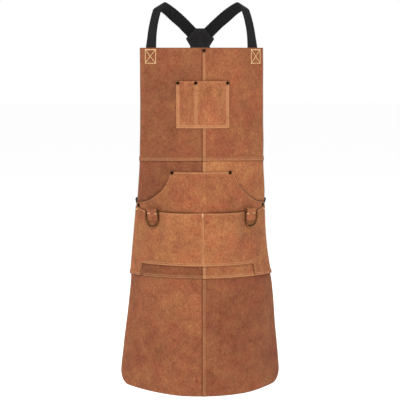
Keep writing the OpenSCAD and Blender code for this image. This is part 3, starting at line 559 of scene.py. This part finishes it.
# hand pocket
def side_s(c, z): return np.where(np.abs(c) <= 189, c, np.sign(c) * lerp(189, half(z), (np.abs(c) - 189) / 48))
cs = stations([spaced(-237, -99, 3.2), np.array([-98.3, -97.6]), np.arange(-95, -14, 3.0), np.arange(-14, 15, 1.4), np.arange(17, 97, 3.0), np.array([97.6, 98.3]), spaced(99, 237, 3.2)])
qs = np.concatenate([spaced(0, 1, 0.011, 0.002)])
S = np.zeros((len(cs), len(qs))); Z = np.zeros_like(S)
for i, c in enumerate(cs):
    z = lerp(HAND_LOW, float(hand_edge(np.array(c))), qs)
    Z[i] = z
    S[i] = side_s(np.full_like(z, c), z)
edge = hand_edge(S) - Z
wear = np.where(np.abs(S) < 97, 0.75, 0.0) * np.exp(-(edge / 6.0) ** 2) + 0.3 * np.exp(-((half(Z) - np.abs(S)) / 9.0) ** 2)
# painted shadow: a dark band just above the tool pocket's top edge, and the pocket's own curved mouth edges darkened as
# painted shade; the outer side edges are darker raw edges
dark = 0.9 * np.exp(-(np.abs(Z - tool_rim(S) - 1.0) / 3.2) ** 2) + 0.5 * np.exp(-((half(Z) - np.abs(S)) / 2.5) ** 2) + 1.3 * ease((np.abs(S) - 97) / 4) * np.exp(-(edge / 3.2) ** 2) + 0.14 * ease((-40 - S) / 90)
hand = leather("hand_pocket_leather", S, Z, hand_lift(S, Z), M["hp"], {"wear": wear, "dark": dark})
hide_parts("hand_pocket")

# tool pocket
cs = stations([spaced(-237, -203, 3.0), np.array([-202, -201, -200, -199.4]), np.arange(-199, -14, 3.1), np.arange(-14, 15, 1.4), np.arange(17, 172, 3.1), np.array([172.4, 173, 174, 175, 176]), spaced(177, 237, 3.0)])
S = np.zeros((len(cs), 60)); Z = np.zeros_like(S)
lowq = np.concatenate([[0, 0.5], np.linspace(2.5, 12, 6)])
for i, c in enumerate(cs):
    e = float(tool_edge(np.array(c)))
    a = e + lowq
    rim = float(tool_rim(np.array(c)))
    b = np.linspace(e + 14, rim - 0.5, 51)
    z = np.concatenate([a, b, [rim]])
    Z[i] = z
    S[i] = side_s(np.full_like(z, c), z)
edge = Z - tool_edge(S)
tails = ease((-199 - S) / 4) + ease((S - 172) / 4)
wear = 0.6 * np.exp(-(edge / 6.0) ** 2) * (1 - 0.6 * tails) + 0.7 * np.exp(-((Z - tool_rim(S)) / 4.5) ** 2) + 0.35 * np.exp(-((np.abs(S) - 0.5) / 3.0) ** 2)
dark = 0.5 * np.exp(-((half(Z) - np.abs(S)) / 2.5) ** 2) + 0.12 * tails * np.exp(-(np.minimum(np.abs(S + 199), np.abs(S - 172)) / 3) ** 2) * (Z < TOOL_LOW)
pink = 0.8 * np.exp(-((S + half(Z) - 12) / 8.0) ** 2)
tool = leather("tool_pocket_leather", S, Z, tool_lift(S, Z), M["tp"], {"wear": wear, "dark": dark, "pink": pink})
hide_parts("tool_pocket")

def quad_area(w0, w1, h): return (w0 + w1) / 2 * h

# ------------------------------------------------------------------ stitching
def out(kind, right): return lambda s, z: lift(kind, right, s, z) + T + 0.12
def line(s0, z0, s1, z1, n=60): return np.stack([np.linspace(s0, s1, n), np.linspace(z0, z1, n)], -1)
seams = Thread()
for off in (2.4, 8.0):
    for a, b, right in ((-203, -1.2, False), (1.2, 203, True)):
        s = np.linspace(a, b, 90)
        seams.on(np.stack([s, seam1(s) + off], -1), out(0, right))
    for a, b, right in ((-251, -1.2, False), (1.2, 251, True)):
        s = np.linspace(a, b, 110)
        z = seam2(s) + off
        for lo, hi in ((-251, -240), (-196, -1), (1, 169)):
            k = (s > lo) & (s < hi)
            if k.sum() > 2: seams.on(np.stack([s[k], z[k]], -1), out(1, right))
# centre laps
for s0 in (2.3, 7.2):
    seams.on(line(s0, -141, s0, CH_TOP + 2), out(0, True))
    seams.on(line(s0, CH_LOW - 1, s0, -464), out(0, True))
    seams.on(line(s0, -479, s0, -510), out(1, True))
    seams.on(line(s0, -800, s0, -834), out(1, True))
    seams.on(line(s0, -840, s0, -1201), out(2, True))
seam_ob = seams.make("seam_stitching", M["thread"])

pockets = Thread()
c_out = lambda s, z: chest_lift(s, z) + T + 0.12
for o in (2.6, 8.8):
    pockets.on(line(CH_L + o, CH_TOP - 1.5, CH_L + o, CH_LOW + o), c_out)
    pockets.on(line(CH_R - o, CH_TOP - 1.5, CH_R - o, CH_LOW + o), c_out)
    pockets.on(line(CH_L + o, CH_LOW + o, CH_R - o, CH_LOW + o), c_out)
for o in (-2.8, 2.8):
    pockets.on(line(CH_D + o, CH_TOP - 9, CH_D + o, CH_LOW + 9), c_out)
h_out = lambda s, z: hand_lift(s, z) + T + 0.12
t_out = lambda s, z: tool_lift(s, z) + T + 0.12
s = np.linspace(-96, 96, 80)
pockets.on(np.stack([s, s * 0 - 514.0 - 0.8], -1), h_out)
for sg in (-1, 1):
    m = np.concatenate([np.linspace(99.5, 130, 30), np.linspace(131, 231, 40)])
    dx = np.gradient(hand_edge(m), m)
    nx, nz = dx / np.hypot(1, dx), -1 / np.hypot(1, dx)
    pockets.on(np.stack([sg * (m + nx * 3.0), hand_edge(m) + nz * 3.0], -1), h_out)
for a, b in ((-192, -4), (4, 168)):
    for o in (2.6, 8.2):
        pockets.on(line(a, TOOL_LOW + o, b, TOOL_LOW + o), t_out)
for o in (2.6, 8.2):
    s = np.linspace(-243, -203, 20); pockets.on(np.stack([s, seam2(s) + 0.8 + o], -1), t_out)
    s = np.linspace(177, 243, 30); pockets.on(np.stack([s, seam2(s) + 0.8 + o], -1), t_out)
pockets.on(line(-201.5, TOOL_LOW + 3, -203.6, -830), t_out)
pockets.on(line(175.5, TOOL_LOW + 3, 178, -830), t_out)
for o in (-2.2, 2.2):
    pockets.on(line(o, TOOL_TOP - 10, o, TOOL_LOW + 3), t_out)
# the side edges of both lower pockets, sewn through to the waist panels
for sg in (-1, 1):
    z = np.linspace(-634 - 4, -826, 60)
    pockets.on(np.stack([sg * (half(z) - 4.0), z], -1), t_out)
    z = np.linspace(-489, -606, 36)
    pockets.on(np.stack([sg * (half(z) - 4.0), z], -1), out(1, sg > 0))
    z = np.linspace(-141, -470, 90)
    pockets.on(np.stack([sg * (half(z) - 4.0), z], -1), out(0, sg > 0))
    z = np.linspace(-846, -1160, 90)
    pockets.on(np.stack([sg * (half(z) - 4.0), z], -1), out(2, sg > 0))
pocket_ob = pockets.make("pocket_stitching", M["thread"])

pale = Thread()
for l, r, sg in ((-183, -145, False), (156.5, 191.7, True)):
    b = out(0, sg)
    z1, z2 = -143.0, -185.5
    cx = (l + r) / 2
    for k, (o, hgt) in enumerate(((0, 0.3), (0.9, 0.5))):
        for p in (line(l + o, z1 - o, r - o, z1 - o), line(l + o, z2 + o, r - o, z2 + o), line(l + o, z1, l + o, z2), line(r - o, z1, r - o, z2)):
            pale.on(p, b, r=0.55, length=3.0, pitch=3.4, high=hgt)
        pale.on(line(l + 1, z1 - 1 - o, r - 1, z2 + 1 - o), b, r=0.55, length=3.0, pitch=3.4, high=hgt)
        pale.on(line(l + 1, z2 + 1 + o, r - 1, z1 - 1 + o), b, r=0.55, length=3.0, pitch=3.4, high=hgt)
    pale.on(line(l, z1 - 2.2, r, z1 - 2.2), b, r=0.55, length=3.0, pitch=3.3, high=0.4)
# bartacks
pale.bar(0, TOOL_TOP - 5.5, t_out, w=11, h=3.0, vertical=True)
for sg in (-1, 1):
    pale.bar(sg * (half(-630) - 6), -634.5, t_out, w=8, h=3.4)
pale_ob = pale.make("beige_stitching", M["pale"])

# ------------------------------------------------------------------ rivets
CAP = [(0, -1.2), (1.6, -1.2), (1.6, 0.1), (4.4, 0.12), (4.78, 0.35), (4.82, 0.75), (4.6, 1.25), (4.15, 1.6), (3.75, 1.55), (3.5, 1.42), (3.2, 1.5), (2.7, 1.95), (2.0, 2.2), (1.0, 2.32), (0, 2.35)]
BACK = [(0, -0.2), (4.0, -0.2), (4.3, 0.1), (4.2, 0.6), (3.4, 1.05), (2.4, 1.15), (1.9, 0.85), (1.2, 0.8), (0, 0.85)]
def rivets(name, spots, node, mat, back=False, drop=0.0):
    parts = []
    v, q = lathe(BACK if back else CAP)
    for s, z, o in spots:
        n = normal(np.array(float(s)), np.array(float(z)))
        c = surf(float(s), float(z), o)
        parts.append((placed(v, c, -n if back else n), q))
    ob = mesh_object(name, *join(parts))
    ob.data.materials.append(mat)
    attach(ob, "apron"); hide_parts(node)
    return ob
chest_r = [(-74, -244), (-20, -244), (76, -244)]
hand_r = [(-93, -514.5), (84, -514.5)]
side_r = [(-223, -621), (223, -621)]
f = lambda fn, s, z: float(fn(np.array(float(s)), np.array(float(z)))) + T
rivets("chest_pocket_rivet_caps", [(s, z, f(chest_lift, s, z) + 0.1) for s, z in chest_r], "chest_pocket_rivets", M["cap"])
rivets("hand_pocket_rivet_caps", [(s, z, f(hand_lift, s, z) + 0.1) for s, z in hand_r], "hand_pocket_rivets", M["cap"])
rivets("side_rivet_caps", [(s, z, f(hand_lift, s, z) + 0.1) for s, z in side_r], "side_rivets", M["cap"])
rivets("top_seam_rivet_cap", [(5, -146.7, ST + T + 0.1)], "top_seam_rivet", M["cap"])
rivets("chest_rivet_burrs", [(s, z, -0.15) for s, z in chest_r], "chest_rivet_backs", M["brass"], True)
rivets("hand_rivet_burrs", [(s, z, -0.15) for s, z in hand_r], "hand_rivet_backs", M["brass"], True)
rivets("side_rivet_burrs", [(s, z, -4.1 - 0.25) for s, z in side_r], "side_rivet_backs", M["brass"], True)
rivets("top_seam_rivet_burr", [(5, -146.7, -0.15)], "top_rivet_back", M["brass"], True)

# ------------------------------------------------------------------ D-rings and their tabs
RZ, RS = TOOL_TOP + 5.2, 156.0
RO = 2 * ST + 0.65 + 4.3 + T + 0.35 + 2.8
def ring_frame(sg):
    r = float(np.interp(RZ, *zip(*sorted(R_T))))
    a = sg * RS / r
    y0 = float(np.interp(RZ, *zip(*sorted(Y_T))))
    nr = float(np.interp(RZ, *zip(*sorted(N_T)))) if sg > 0 else 0.0
    o = np.array([(r + RO) * math.sin(a) - nr * (RS / 250) ** 2, y0 + r - (r + RO) * math.cos(a), RZ])
    a = math.atan2(math.sin(a), math.cos(a) - 2 * nr * RS / 62500)
    X = np.array([math.cos(a), math.sin(a), 0]); N = np.array([math.sin(a), -math.cos(a), 0])
    return o, X, N
def sweep_closed(path, r, sides=20):
    path = np.asarray(path, float)
    t = np.roll(path, -1, 0) - np.roll(path, 1, 0)
    t /= np.linalg.norm(t, axis=1, keepdims=True)
    ref = np.array([0, 0, 1.0])
    n = np.broadcast_to(ref, t.shape)
    b = np.cross(t, n); b /= np.linalg.norm(b, axis=1, keepdims=True); n = np.cross(b, t)
    ph = np.arange(sides) * 2 * math.pi / sides
    v = path[:, None] + r * (np.cos(ph)[None, :, None] * b[:, None] + np.sin(ph)[None, :, None] * n[:, None])
    K = len(path)
    i, j = np.meshgrid(np.arange(K), np.arange(sides), indexing="ij")
    i2, j2 = (i + 1) % K, (j + 1) % sides
    return v.reshape(-1, 3), np.stack([i * sides + j, i * sides + j2, i2 * sides + j2, i2 * sides + j], -1).reshape(-1, 4)
tack = Thread()
for sg, side in ((-1, "left"), (1, "right")):
    o, X, N = ring_frame(sg)
    h, drop, c = 23.8, 50 - 23.8, 2.6
    pts = []
    # local (x, y), y up: bar from the left corner to the right one, then round the bow
    for k in np.linspace(-h + c, h - c, 18): pts.append((k, 0))
    for a in np.linspace(90, 0, 7)[1:]: pts.append((h - c + c * math.cos(math.radians(a)), -c + c * math.sin(math.radians(a))))
    for k in np.linspace(-c, -drop, 10)[1:]: pts.append((h, k))
    for a in np.linspace(0, -180, 41)[1:]: pts.append((h * math.cos(math.radians(a)), -drop + h * math.sin(math.radians(a))))
    for k in np.linspace(-drop, -c, 10)[1:]: pts.append((-h, k))
    for a in np.linspace(180, 90, 7)[1:-1]: pts.append((-h + c + c * math.cos(math.radians(a)), -c + c * math.sin(math.radians(a))))
    loc = np.array(pts)
    # swept in the plane of x and y, with the third direction as reference
    v, q = sweep_closed(np.column_stack([loc, np.zeros(len(loc))]), 2.78, 20)
    world = o + v[:, :1] * X + v[:, 1:2] * np.array([0, 0, 1.0]) + v[:, 2:3] * N
    ring = mesh_object("d_ring_" + side + "_wire", world, q if np.dot(np.cross(X, [0, 0, 1.0]), N) > 0 else q[:, ::-1])
    ring.data.materials.append(M["metal"])
    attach(ring, "ring_" + side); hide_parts("d_ring_" + side)
    # folded leather tab: a strip that goes up behind the pocket, round the bar and back down
    tu = ST + 0.45 + T + 0.5 - RO
    prof = []   # (outward, up) centre line of the strip, with its own thickness 1.25
    r0 = 2.8 + 0.3 + 0.6
    prof += [(tu + 0.7, y) for y in np.linspace(-30.5, -7, 12)]
    prof += [(lerp(tu + 0.7, -r0, ease(np.array(k))), lerp(-7, 1.0, k)) for k in np.linspace(0.12, 1, 8)]
    ang0 = math.degrees(math.atan2(1.0, -r0)) 
    for a in np.linspace(165, -24.9, 24): prof.append((r0 * math.cos(math.radians(a)), r0 * math.sin(math.radians(a))))
    e0 = prof[-1]
    # then down in front of the pocket, inside the ring, to a rounded end
    for k in np.linspace(0.1, 0.9, 9): prof.append((lerp(e0[0], -2.05, k), lerp(e0[1], -13.2, k)))
    prof += [(-1.85, -12.8), (-2.02, -13.9), (-2.05, -15.2)] + [(-2.05, y) for y in np.linspace(-17, -34, 12)] + [(-2.05, -34.9), (-2.05, -35.5), (-2.05, -35.85)]
    pr = np.array([(float(a), float(b)) for a, b in prof])
    n_back = 12 + 8 + 24
    wide = np.array([1.0 if i < n_back or b > -26.2 else min(19.0, math.sqrt(19.35 ** 2 - (b + 26.2) ** 2)) / 19.0 for i, (a, b) in enumerate(pr)])
    tn = np.gradient(pr, axis=0); tn /= np.linalg.norm(tn, axis=1, keepdims=True)
    nn = np.stack([-tn[:, 1], tn[:, 0]], -1)
    xs = np.concatenate([[-19, -18.6], np.linspace(-17, 17, 14), [18.6, 19]])
    grid_a, grid_b = [], []
    for x in xs:
        hh = 0.62 if abs(x) < 18.9 else 0.35
        A, B = pr + nn * hh, pr - nn * hh
        grid_a.append([o + X * x * w + N * p[0] + np.array([0, 0, p[1]]) for p, w in zip(A, wide)])
        grid_b.append([o + X * x * w + N * p[0] + np.array([0, 0, p[1]]) for p, w in zip(B, wide)])
    ga, gb = np.array(grid_a), np.array(grid_b)
    I, J = ga.shape[0], ga.shape[1]
    idx = np.arange(I * J).reshape(I, J); n = I * J
    a, b, c2, d = idx[:-1, :-1], idx[:-1, 1:], idx[1:, :-1], idx[1:, 1:]
    q = [np.stack([a, b, d, c2], -1).reshape(-1, 4), np.stack([a + n, c2 + n, d + n, b + n], -1).reshape(-1, 4)]
    for ln, flip in ((idx[:, 0], False), (idx[:, -1], True), (idx[0], True), (idx[-1], False)):
        u, w = ln[:-1], ln[1:]
        ff = np.stack([u, w, w + n, u + n], -1)
        q.append(ff[:, ::-1] if flip else ff)
    tab = mesh_object("d_ring_tab_" + side + "_leather", np.concatenate([ga.reshape(-1, 3), gb.reshape(-1, 3)]), np.concatenate(q))
    row = np.tile(np.arange(J), I); across = np.abs(np.repeat(xs, J))
    # the hanging end of the tab: its bottom band is partly the darker cut edge and partly painted shadow under the
    # fold; its side edges get painted shade
    tip = np.where(row >= n_back, np.clip((pr[row, 1] + 32.2) / -3.6, 0, 1), 0)
    rim = np.where(row >= n_back, np.exp(-((19 - across) / 1.6) ** 2), 0)
    fields = {"wear": 0.25 * np.exp(-((19 - across) / 4.5) ** 2), "dark": np.clip(0.95 * tip + 0.6 * rim, 0, 1), "pink": np.where(row >= n_back, 0.5, 0), "cut": 0.9 * (tip > 0.9), "skin": np.zeros(n)}
    for key in fields: attribute(tab, key, np.tile(fields[key], 2))
    for x0, w in ((-13.5, 9.0), (13.0, 6.5)):
        for k in np.arange(-w / 2, w / 2, 0.8):
            tack.run(np.array([o + X * (x0 + k + e * 0.2) + N * (3.36 + (-9.6 + e * 1.35) * 0.465 + 0.72) + np.array([0, 0, -11.2 + e * 1.35]) for e in (-1, 1)]), np.array([N, N]), pitch=2.8, length=2.66, r=0.45, high=0.42)
    tab.data.materials.append(M["tab"])
    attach(tab, "apron"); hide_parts("d_ring_tab_" + side)

tack.make("ring_tab_bartacks", M["pale"])

# ------------------------------------------------------------------ webbing
def unit(v):
    v = np.asarray(v, float)
    return v / np.linalg.norm(v, axis=-1, keepdims=True)
def smooth_route(pts, k):
    P = np.array([p[0] for p in pts], float); N = np.array([p[1] for p in pts], float); C = np.array([p[2] for p in pts], float)
    out_p, out_n, out_c = [], [], []
    m = len(P)
    for i in range(m - 1):
        a, b, c, d = P[max(i - 1, 0)], P[i], P[i + 1], P[min(i + 2, m - 1)]
        for j in range(k if i < m - 2 else k + 1):
            u = j / k
            out_p.append(0.5 * (2 * b + (c - a) * u + (2 * a - 5 * b + 4 * c - d) * u * u + (3 * b - a - 3 * c + d) * u ** 3))
            out_n.append(unit(N[i] * (1 - u) + N[i + 1] * u)); out_c.append(C[i] * (1 - u) + C[i + 1] * u)
    return np.array(out_p), np.array(out_n), np.array(out_c)

def webbing(name, P, N, C, width, thick, mat, body, nodes, step=1.25, mirror=False, rib=2.9, relief=0.16):
    """Woven tape along a path: lengthwise ribs whose floats alternate, with a rolled selvedge."""
    L = np.concatenate([[0], np.cumsum(np.linalg.norm(np.diff(P, axis=0), axis=1))])
    m = max(4, int(round(L[-1] / step)))
    x = np.linspace(0, L[-1], m + 1)
    # resample the path and normals at even steps along its length
    def res(A): return np.stack([np.interp(x, L, A[:, k]) for k in range(A.shape[1])], -1)
    p, n, c = res(P), res(N), res(C[:, None])[:, 0]
    t = unit(np.gradient(p, axis=0))
    w = unit(np.cross(t, n))
    f = np.cross(w, t)
    ribs = max(5, int(round(width / rib)))
    u = np.linspace(-1, 1, ribs * 4 + 1)
    U, Xg = np.meshgrid(u, x, indexing="ij")
    k = np.clip(np.floor((U + 1) / 2 * ribs), 0, ribs - 1)
    frac = (U + 1) / 2 * ribs - k
    weave = np.sin(math.pi * frac) * (0.55 + 0.45 * np.cos(2 * math.pi * (Xg / 3.1 + 0.5 * (k % 2))))
    selv = clamp((1 - np.abs(U)) * width / 2 / 1.0)
    hgt = thick / 2 * np.sqrt(np.clip(1 - (1 - selv) ** 2, 0.06, 1)) 
    curl = -np.abs(U) ** 1.5 * c[None, :]
    top = p[None] + w[None] * (U * width / 2)[..., None] + f[None] * (curl + hgt - relief + relief * weave)[..., None]
    bot = p[None] + w[None] * (U * width / 2)[..., None] + f[None] * (curl - hgt + relief - relief * weave)[..., None]
    if mirror:
        top, bot = top * [-1, 1, 1], bot * [-1, 1, 1]
    I, J = top.shape[:2]
    idx = np.arange(I * J).reshape(I, J); nn = I * J
    a, b, c2, d = idx[:-1, :-1], idx[:-1, 1:], idx[1:, :-1], idx[1:, 1:]
    q = [np.stack([a, c2, d, b], -1).reshape(-1, 4), np.stack([a + nn, b + nn, d + nn, c2 + nn], -1).reshape(-1, 4)]
    for ln, flip in ((idx[:, 0], True), (idx[:, -1], False), (idx[0], False), (idx[-1], True)):
        uu, vv = ln[:-1], ln[1:]
        ff = np.stack([uu, vv, vv + nn, uu + nn], -1)
        q.append(ff[:, ::-1] if flip else ff)
    q = np.concatenate(q)
    if mirror: q = q[:, ::-1]
    ob = mesh_object(name, np.concatenate([top.reshape(-1, 3), bot.reshape(-1, 3)]), q)
    ob.data.materials.append(mat)
    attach(ob, body)
    if nodes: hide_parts(*nodes)
    return ob

B_T = [[-420, 119], [-380, 123], [-337, 125.8], [-286, 127.7], [-230, 125.3], [-174, 119.8], [-146, 116.4], [-119, 112], [-103, 107.6], [-88, 102.5], [-74, 97.2], [-60, 91], [-42, 78]]
def b_at(z): return float(np.interp(z, *zip(*sorted(B_T))))
def on_back(x, z, o):
    n = unit([x / 300, 1, -(b_at(z + 12) - b_at(z - 12)) / 24])
    return np.array([x, b_at(z) - x * x / 600, z]) + n * o, n
HIP = np.array([190, -8.5, -581.5])
HD = unit([-0.34, 0.38, 0.86])
HN = unit(np.array([1, 0.2, 0]) - HD * np.dot([1, 0.2, 0], HD))
HW = np.cross(HN, HD)
def hip(x, y, z): return HIP + HW * x + HN * y + HD * z
def plain_surf(s, z, o):
    r = float(np.interp(z, *zip(*sorted(R_T)))); a = s / r
    return np.array([(r + o) * math.sin(a) - (float(np.interp(z, *zip(*sorted(N_T)))) * (s / 250) ** 2 if s > 0 else 0), float(np.interp(z, *zip(*sorted(Y_T)))) + r - (r + o) * math.cos(a), z])
def strap_route(k):
    r = [(plain_surf(-164, z, -1.35), (-0.536, -0.844, 0), 0.62) for z in (-183, -168, -153, -138)]
    r += [((-152, -44.5, -108), (-0.66, -0.74, 0.15), 0.3), ((-148.5, -35, -80), (-0.68, -0.7, 0.2), 0), ((-143, -25.5, -52), (-0.68, -0.66, 0.3), 0),
          ((-138, -17.5, -33), (-0.62, -0.6, 0.45), 0), ((-134, -10, -19), (-0.55, -0.4, 0.7), 0), ((-129.5, 0, -9.5), (-0.5, 0, 0.866), 0),
          ((-123, 14, -9), (-0.45, 0.25, 0.86), 0), ((-112, 30, -15), (-0.38, 0.45, 0.8), 0.2), ((-97, 47, -25), (-0.3, 0.6, 0.74), 0.5)]
    for x, z in ((-77, -42), (-55, -61), (-42, -74), (-28, -88), (-15, -103), (0, -119), (16, -146), (30, -173), (46, -202), (60, -230), (88, -287)):
        p, n = on_back(x, z, k); r.append((p, n, 0.95))
    r += [((108, 98, -338), (0.66, 0.74, 0.11), 0.4), (hip(0, 0, 212), HN, 0), (hip(0, 0, 184), HN, 0), (hip(0, 0, 156), HN, 0)]
    return r
for side, k, mir in (("left", 1.3, False), ("right", -1.3, True)):
    P, N, C = smooth_route(strap_route(k), 10)
    webbing("shoulder_strap_" + side + "_webbing", P, N, C, 38, 1.8, M["web"], "apron", ["shoulder_strap_" + side], mirror=mir)

# hip tabs: webbing from the side rivet, round the socket's bar and back under itself
def tab_point(sg, s, z, o, c):
    p = plain_surf(sg * s, z, o)
    d = plain_surf(sg * s + 1, z, 0) - plain_surf(sg * s - 1, z, 0)
    a = sg * math.atan2(d[1], d[0])
    return (np.array([sg * p[0], p[1], z]), np.array([math.sin(a), -math.cos(a), 0]), c)
for side, mir in (("right", False), ("left", True)):
    base = [tab_point(-1 if mir else 1, s, z, o, c)
            for s, z, o, c in ((211, -647, -2.3, .7), (217, -634, -2.3, .7), (223, -621, -2.4, .7), (229, -609, -2.9, .6), (233.5, -598, -5, .2))]
    base += [(np.array([189.6, -11, -589.5]), unit(HN + [0, -0.3, 0]), 0.1), (hip(0, 0, -2), HN, 0), (hip(0, 0, 3), HN, 0)]
    P, N, C = smooth_route(base, 6)
    up_p, up_n = P - N * 0.82, N
    dn_p, dn_n = (P + N * 0.82)[::-1], -N[::-1]
    loop_p, loop_n = [], []
    for a in np.linspace(-52, 232, 40):
        ca, sa = math.cos(math.radians(a)), math.sin(math.radians(a))
        loop_p.append(hip(0, -3.3 * ca if False else -3.3 * math.cos(math.radians(a)), 11 + 3.3 * sa)); loop_n.append(unit(HW * 0 + HN * (math.cos(math.radians(a))) - HD * sa))
    PP = np.concatenate([up_p, loop_p, dn_p]); NN = np.concatenate([up_n, loop_n, dn_n]); CC = np.concatenate([C, np.zeros(40), -C[::-1]])
    webbing("hip_tab_" + side + "_webbing", PP, NN, CC, 38, 1.5, M["web"], "apron", ["hip_tab_" + side], mirror=mir, relief=0.1)
    # the strap's free end, folded round the plug's bar
    r0, zz = 3.1, 68.0
    lp, ln = [], []
    for z in np.linspace(150, 69, 30): lp.append(hip(0, -3.1, z)); ln.append(HN)
    for a in np.linspace(180, 360, 30)[1:-1]:
        lp.append(hip(0, r0 * math.cos(math.radians(a)), zz + r0 * math.sin(math.radians(a)))); ln.append(-unit(HN * math.cos(math.radians(a)) + HD * math.sin(math.radians(a))))
    for z in np.linspace(69, 170, 36): lp.append(hip(0, 3.1, z)); ln.append(-HN)
    webbing("strap_loop_" + side + "_webbing", np.array(lp), np.array(ln), np.zeros(len(lp)), 38, 1.5, M["web"], "plug_" + side, ["strap_loop_" + side], mirror=mir, relief=0.1)

# ------------------------------------------------------------------ yoke patch
YOKE = [(-155, 17.5), (-110, 44.5), (-78, 17.5)]
def yoke_half(z): return float(np.interp(z, *zip(*YOKE)))
def yoke(name, o, node):
    zs = np.concatenate([[-155, -154.5], np.linspace(-152, -81, 34), [-78.5, -78]])
    us = np.concatenate([[-1, -0.985], np.linspace(-0.93, 0.93, 34), [0.985, 1]])
    inner, outer = [], []
    for u in us:
        a, b = [], []
        for z in zs:
            x = -u * yoke_half(z)
            rim = abs(u) > 0.99 or z in (-155, -78)
            puff = 0.35 * (1 - abs(u) ** 4)
            a.append(on_back(x, z, o + (0.4 if rim else 0.05))[0]); b.append(on_back(x, z, o + 2 - (0.5 if rim else 0) + (0 if rim else puff - 0.35))[0])
        inner.append(a); outer.append(b)
    A, B = np.array(inner), np.array(outer)
    I, J = A.shape[:2]
    idx = np.arange(I * J).reshape(I, J); n = I * J
    a, b, c, d = idx[:-1, :-1], idx[:-1, 1:], idx[1:, :-1], idx[1:, 1:]
    q = [np.stack([a, b, d, c], -1).reshape(-1, 4), np.stack([a + n, c + n, d + n, b + n], -1).reshape(-1, 4)]
    for ln, flip in ((idx[:, 0], False), (idx[:, -1], True), (idx[0], True), (idx[-1], False)):
        u, w = ln[:-1], ln[1:]
        ff = np.stack([u, w, w + n, u + n], -1)
        q.append(ff[:, ::-1] if flip else ff)
    ob = mesh_object(name, np.concatenate([A.reshape(-1, 3), B.reshape(-1, 3)]), np.concatenate(q))
    ob.data.materials.append(M["yoke"])
    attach(ob, "apron"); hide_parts(node)
    return ob
yo = yoke("yoke_patch_outer_leather", 1.3 + 0.9 + 0.6, "yoke_patch_outer")
yi = yoke("yoke_patch_inner_leather", -1.3 - 0.9 - 0.8 - 2, "yoke_patch_inner")
ys = Thread()
for o, sg in ((1.3 + 0.9 + 0.6 + 2.0, 1), (-1.3 - 0.9 - 0.8 - 2, -1)):
    for inset in (3.2, 6.4):
        ring = []
        zt, zb, zm = -78 - inset, -155 + inset, -110
        corners = [(17.5 - inset * 0.5, zt), (44.5 - inset * 1.25, zm), (17.5 - inset * 0.55, zb), (-17.5 + inset * 0.55, zb), (-44.5 + inset * 1.25, zm), (-17.5 + inset * 0.5, zt)]
        for i in range(6):
            a, b = np.array(corners[i]), np.array(corners[(i + 1) % 6])
            m = max(4, int(np.linalg.norm(b - a) / 2))
            pts = [on_back(*(a + (b - a) * k), o + 0.1 * sg) for k in np.linspace(0, 1, m)]
            ys.run([p for p, n in pts], [n * sg for p, n in pts], pitch=3.3, length=2.6, r=0.42)
    for a, b in (((-11, -86), (11, -146)), ((11, -86), (-11, -146))):
        pts = [on_back(*(np.array(a) + (np.array(b) - np.array(a)) * k), o + 0.1 * sg) for k in np.linspace(0, 1, 30)]
        ys.run([p for p, n in pts], [n * sg for p, n in pts], pitch=3.3, length=2.6, r=0.42)
yoke_st = ys.make("yoke_stitching", M["black_thread"])

# ------------------------------------------------------------------ buckles keep their CAD shape
for n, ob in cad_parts.items():
    if n.startswith("buckle") or n.startswith("strap_keeper"):
        ob.data.materials.clear()
        ob.data.materials.append(M["plastic"])

# ------------------------------------------------------------------ floor, light, camera
def studio():
    bpy.context.scene.view_settings.view_transform = "Standard"
    w = bpy.data.worlds.new("studio"); bpy.context.scene.world = w
    w.use_nodes = True
    bg = w.node_tree.nodes["Background"]
    bg.inputs[0].default_value = (1, 1, 1, 1)
    path, rng = w.node_tree.nodes.new("ShaderNodeLightPath"), w.node_tree.nodes.new("ShaderNodeMapRange")
    rng.inputs["To Min"].default_value, rng.inputs["To Max"].default_value = 0.62, 1.0
    w.node_tree.links.new(path.outputs["Is Camera Ray"], rng.inputs["Value"])
    w.node_tree.links.new(rng.outputs["Result"], bg.inputs[1])
    me = bpy.data.meshes.new("floor")
    me.from_pydata([(-30, -30, -1.4), (30, -30, -1.4), (30, 30, -1.4), (-30, 30, -1.4)], [], [(0, 1, 2, 3)])
    fl = bpy.data.objects.new("floor", me); bpy.context.scene.collection.objects.link(fl)
    g = Nodes("floor_pale"); g.b.inputs["Base Color"].default_value = (0.9, 0.9, 0.9, 1); g.b.inputs["Roughness"].default_value = 0.95
    g.b.inputs["Emission Color"].default_value = (1, 1, 1, 1); g.b.inputs["Emission Strength"].default_value = 0.42
    me.materials.append(g.m)
    def area(name, loc, target, size, power, colour=(1, 1, 1)):
        l = bpy.data.lights.new(name, "AREA"); l.shape = "RECTANGLE"; l.size, l.size_y = size; l.energy = power; l.color = colour
        o = bpy.data.objects.new(name, l); bpy.context.scene.collection.objects.link(o)
        from mathutils import Vector
        o.location = loc
        o.rotation_mode = "QUATERNION"
        o.rotation_quaternion = (Vector(target) - Vector(loc)).to_track_quat("-Z", "Y")
    area("key", (-0.9, -2.6, 1.7), (0, 0, -0.6), (1.2, 1.2), 95)
    area("fill", (2.2, -2.6, 0.3), (0, 0, -0.6), (2.0, 2.0), 30)
    area("back", (0.6, 2.8, 1.2), (0, 0, -0.6), (2.0, 2.0), 45)
    cam = bpy.data.cameras.new("camera")
    co = bpy.data.objects.new("camera", cam); bpy.context.scene.collection.objects.link(co)
    from mathutils import Vector
    a = math.radians(2)
    loc = Vector((-4.0 * math.sin(a), -0.12 - 4.0 * math.cos(a), -0.16))
    co.location = loc
    co.rotation_mode = "QUATERNION"
    co.rotation_quaternion = (Vector((0, -0.06, -0.60303)) - loc).to_track_quat("-Z", "Y")
    cam.sensor_width = 36; cam.lens = 119.62; cam.shift_x = (200 - 201.87) / 400
    bpy.context.scene.camera = co
studio()
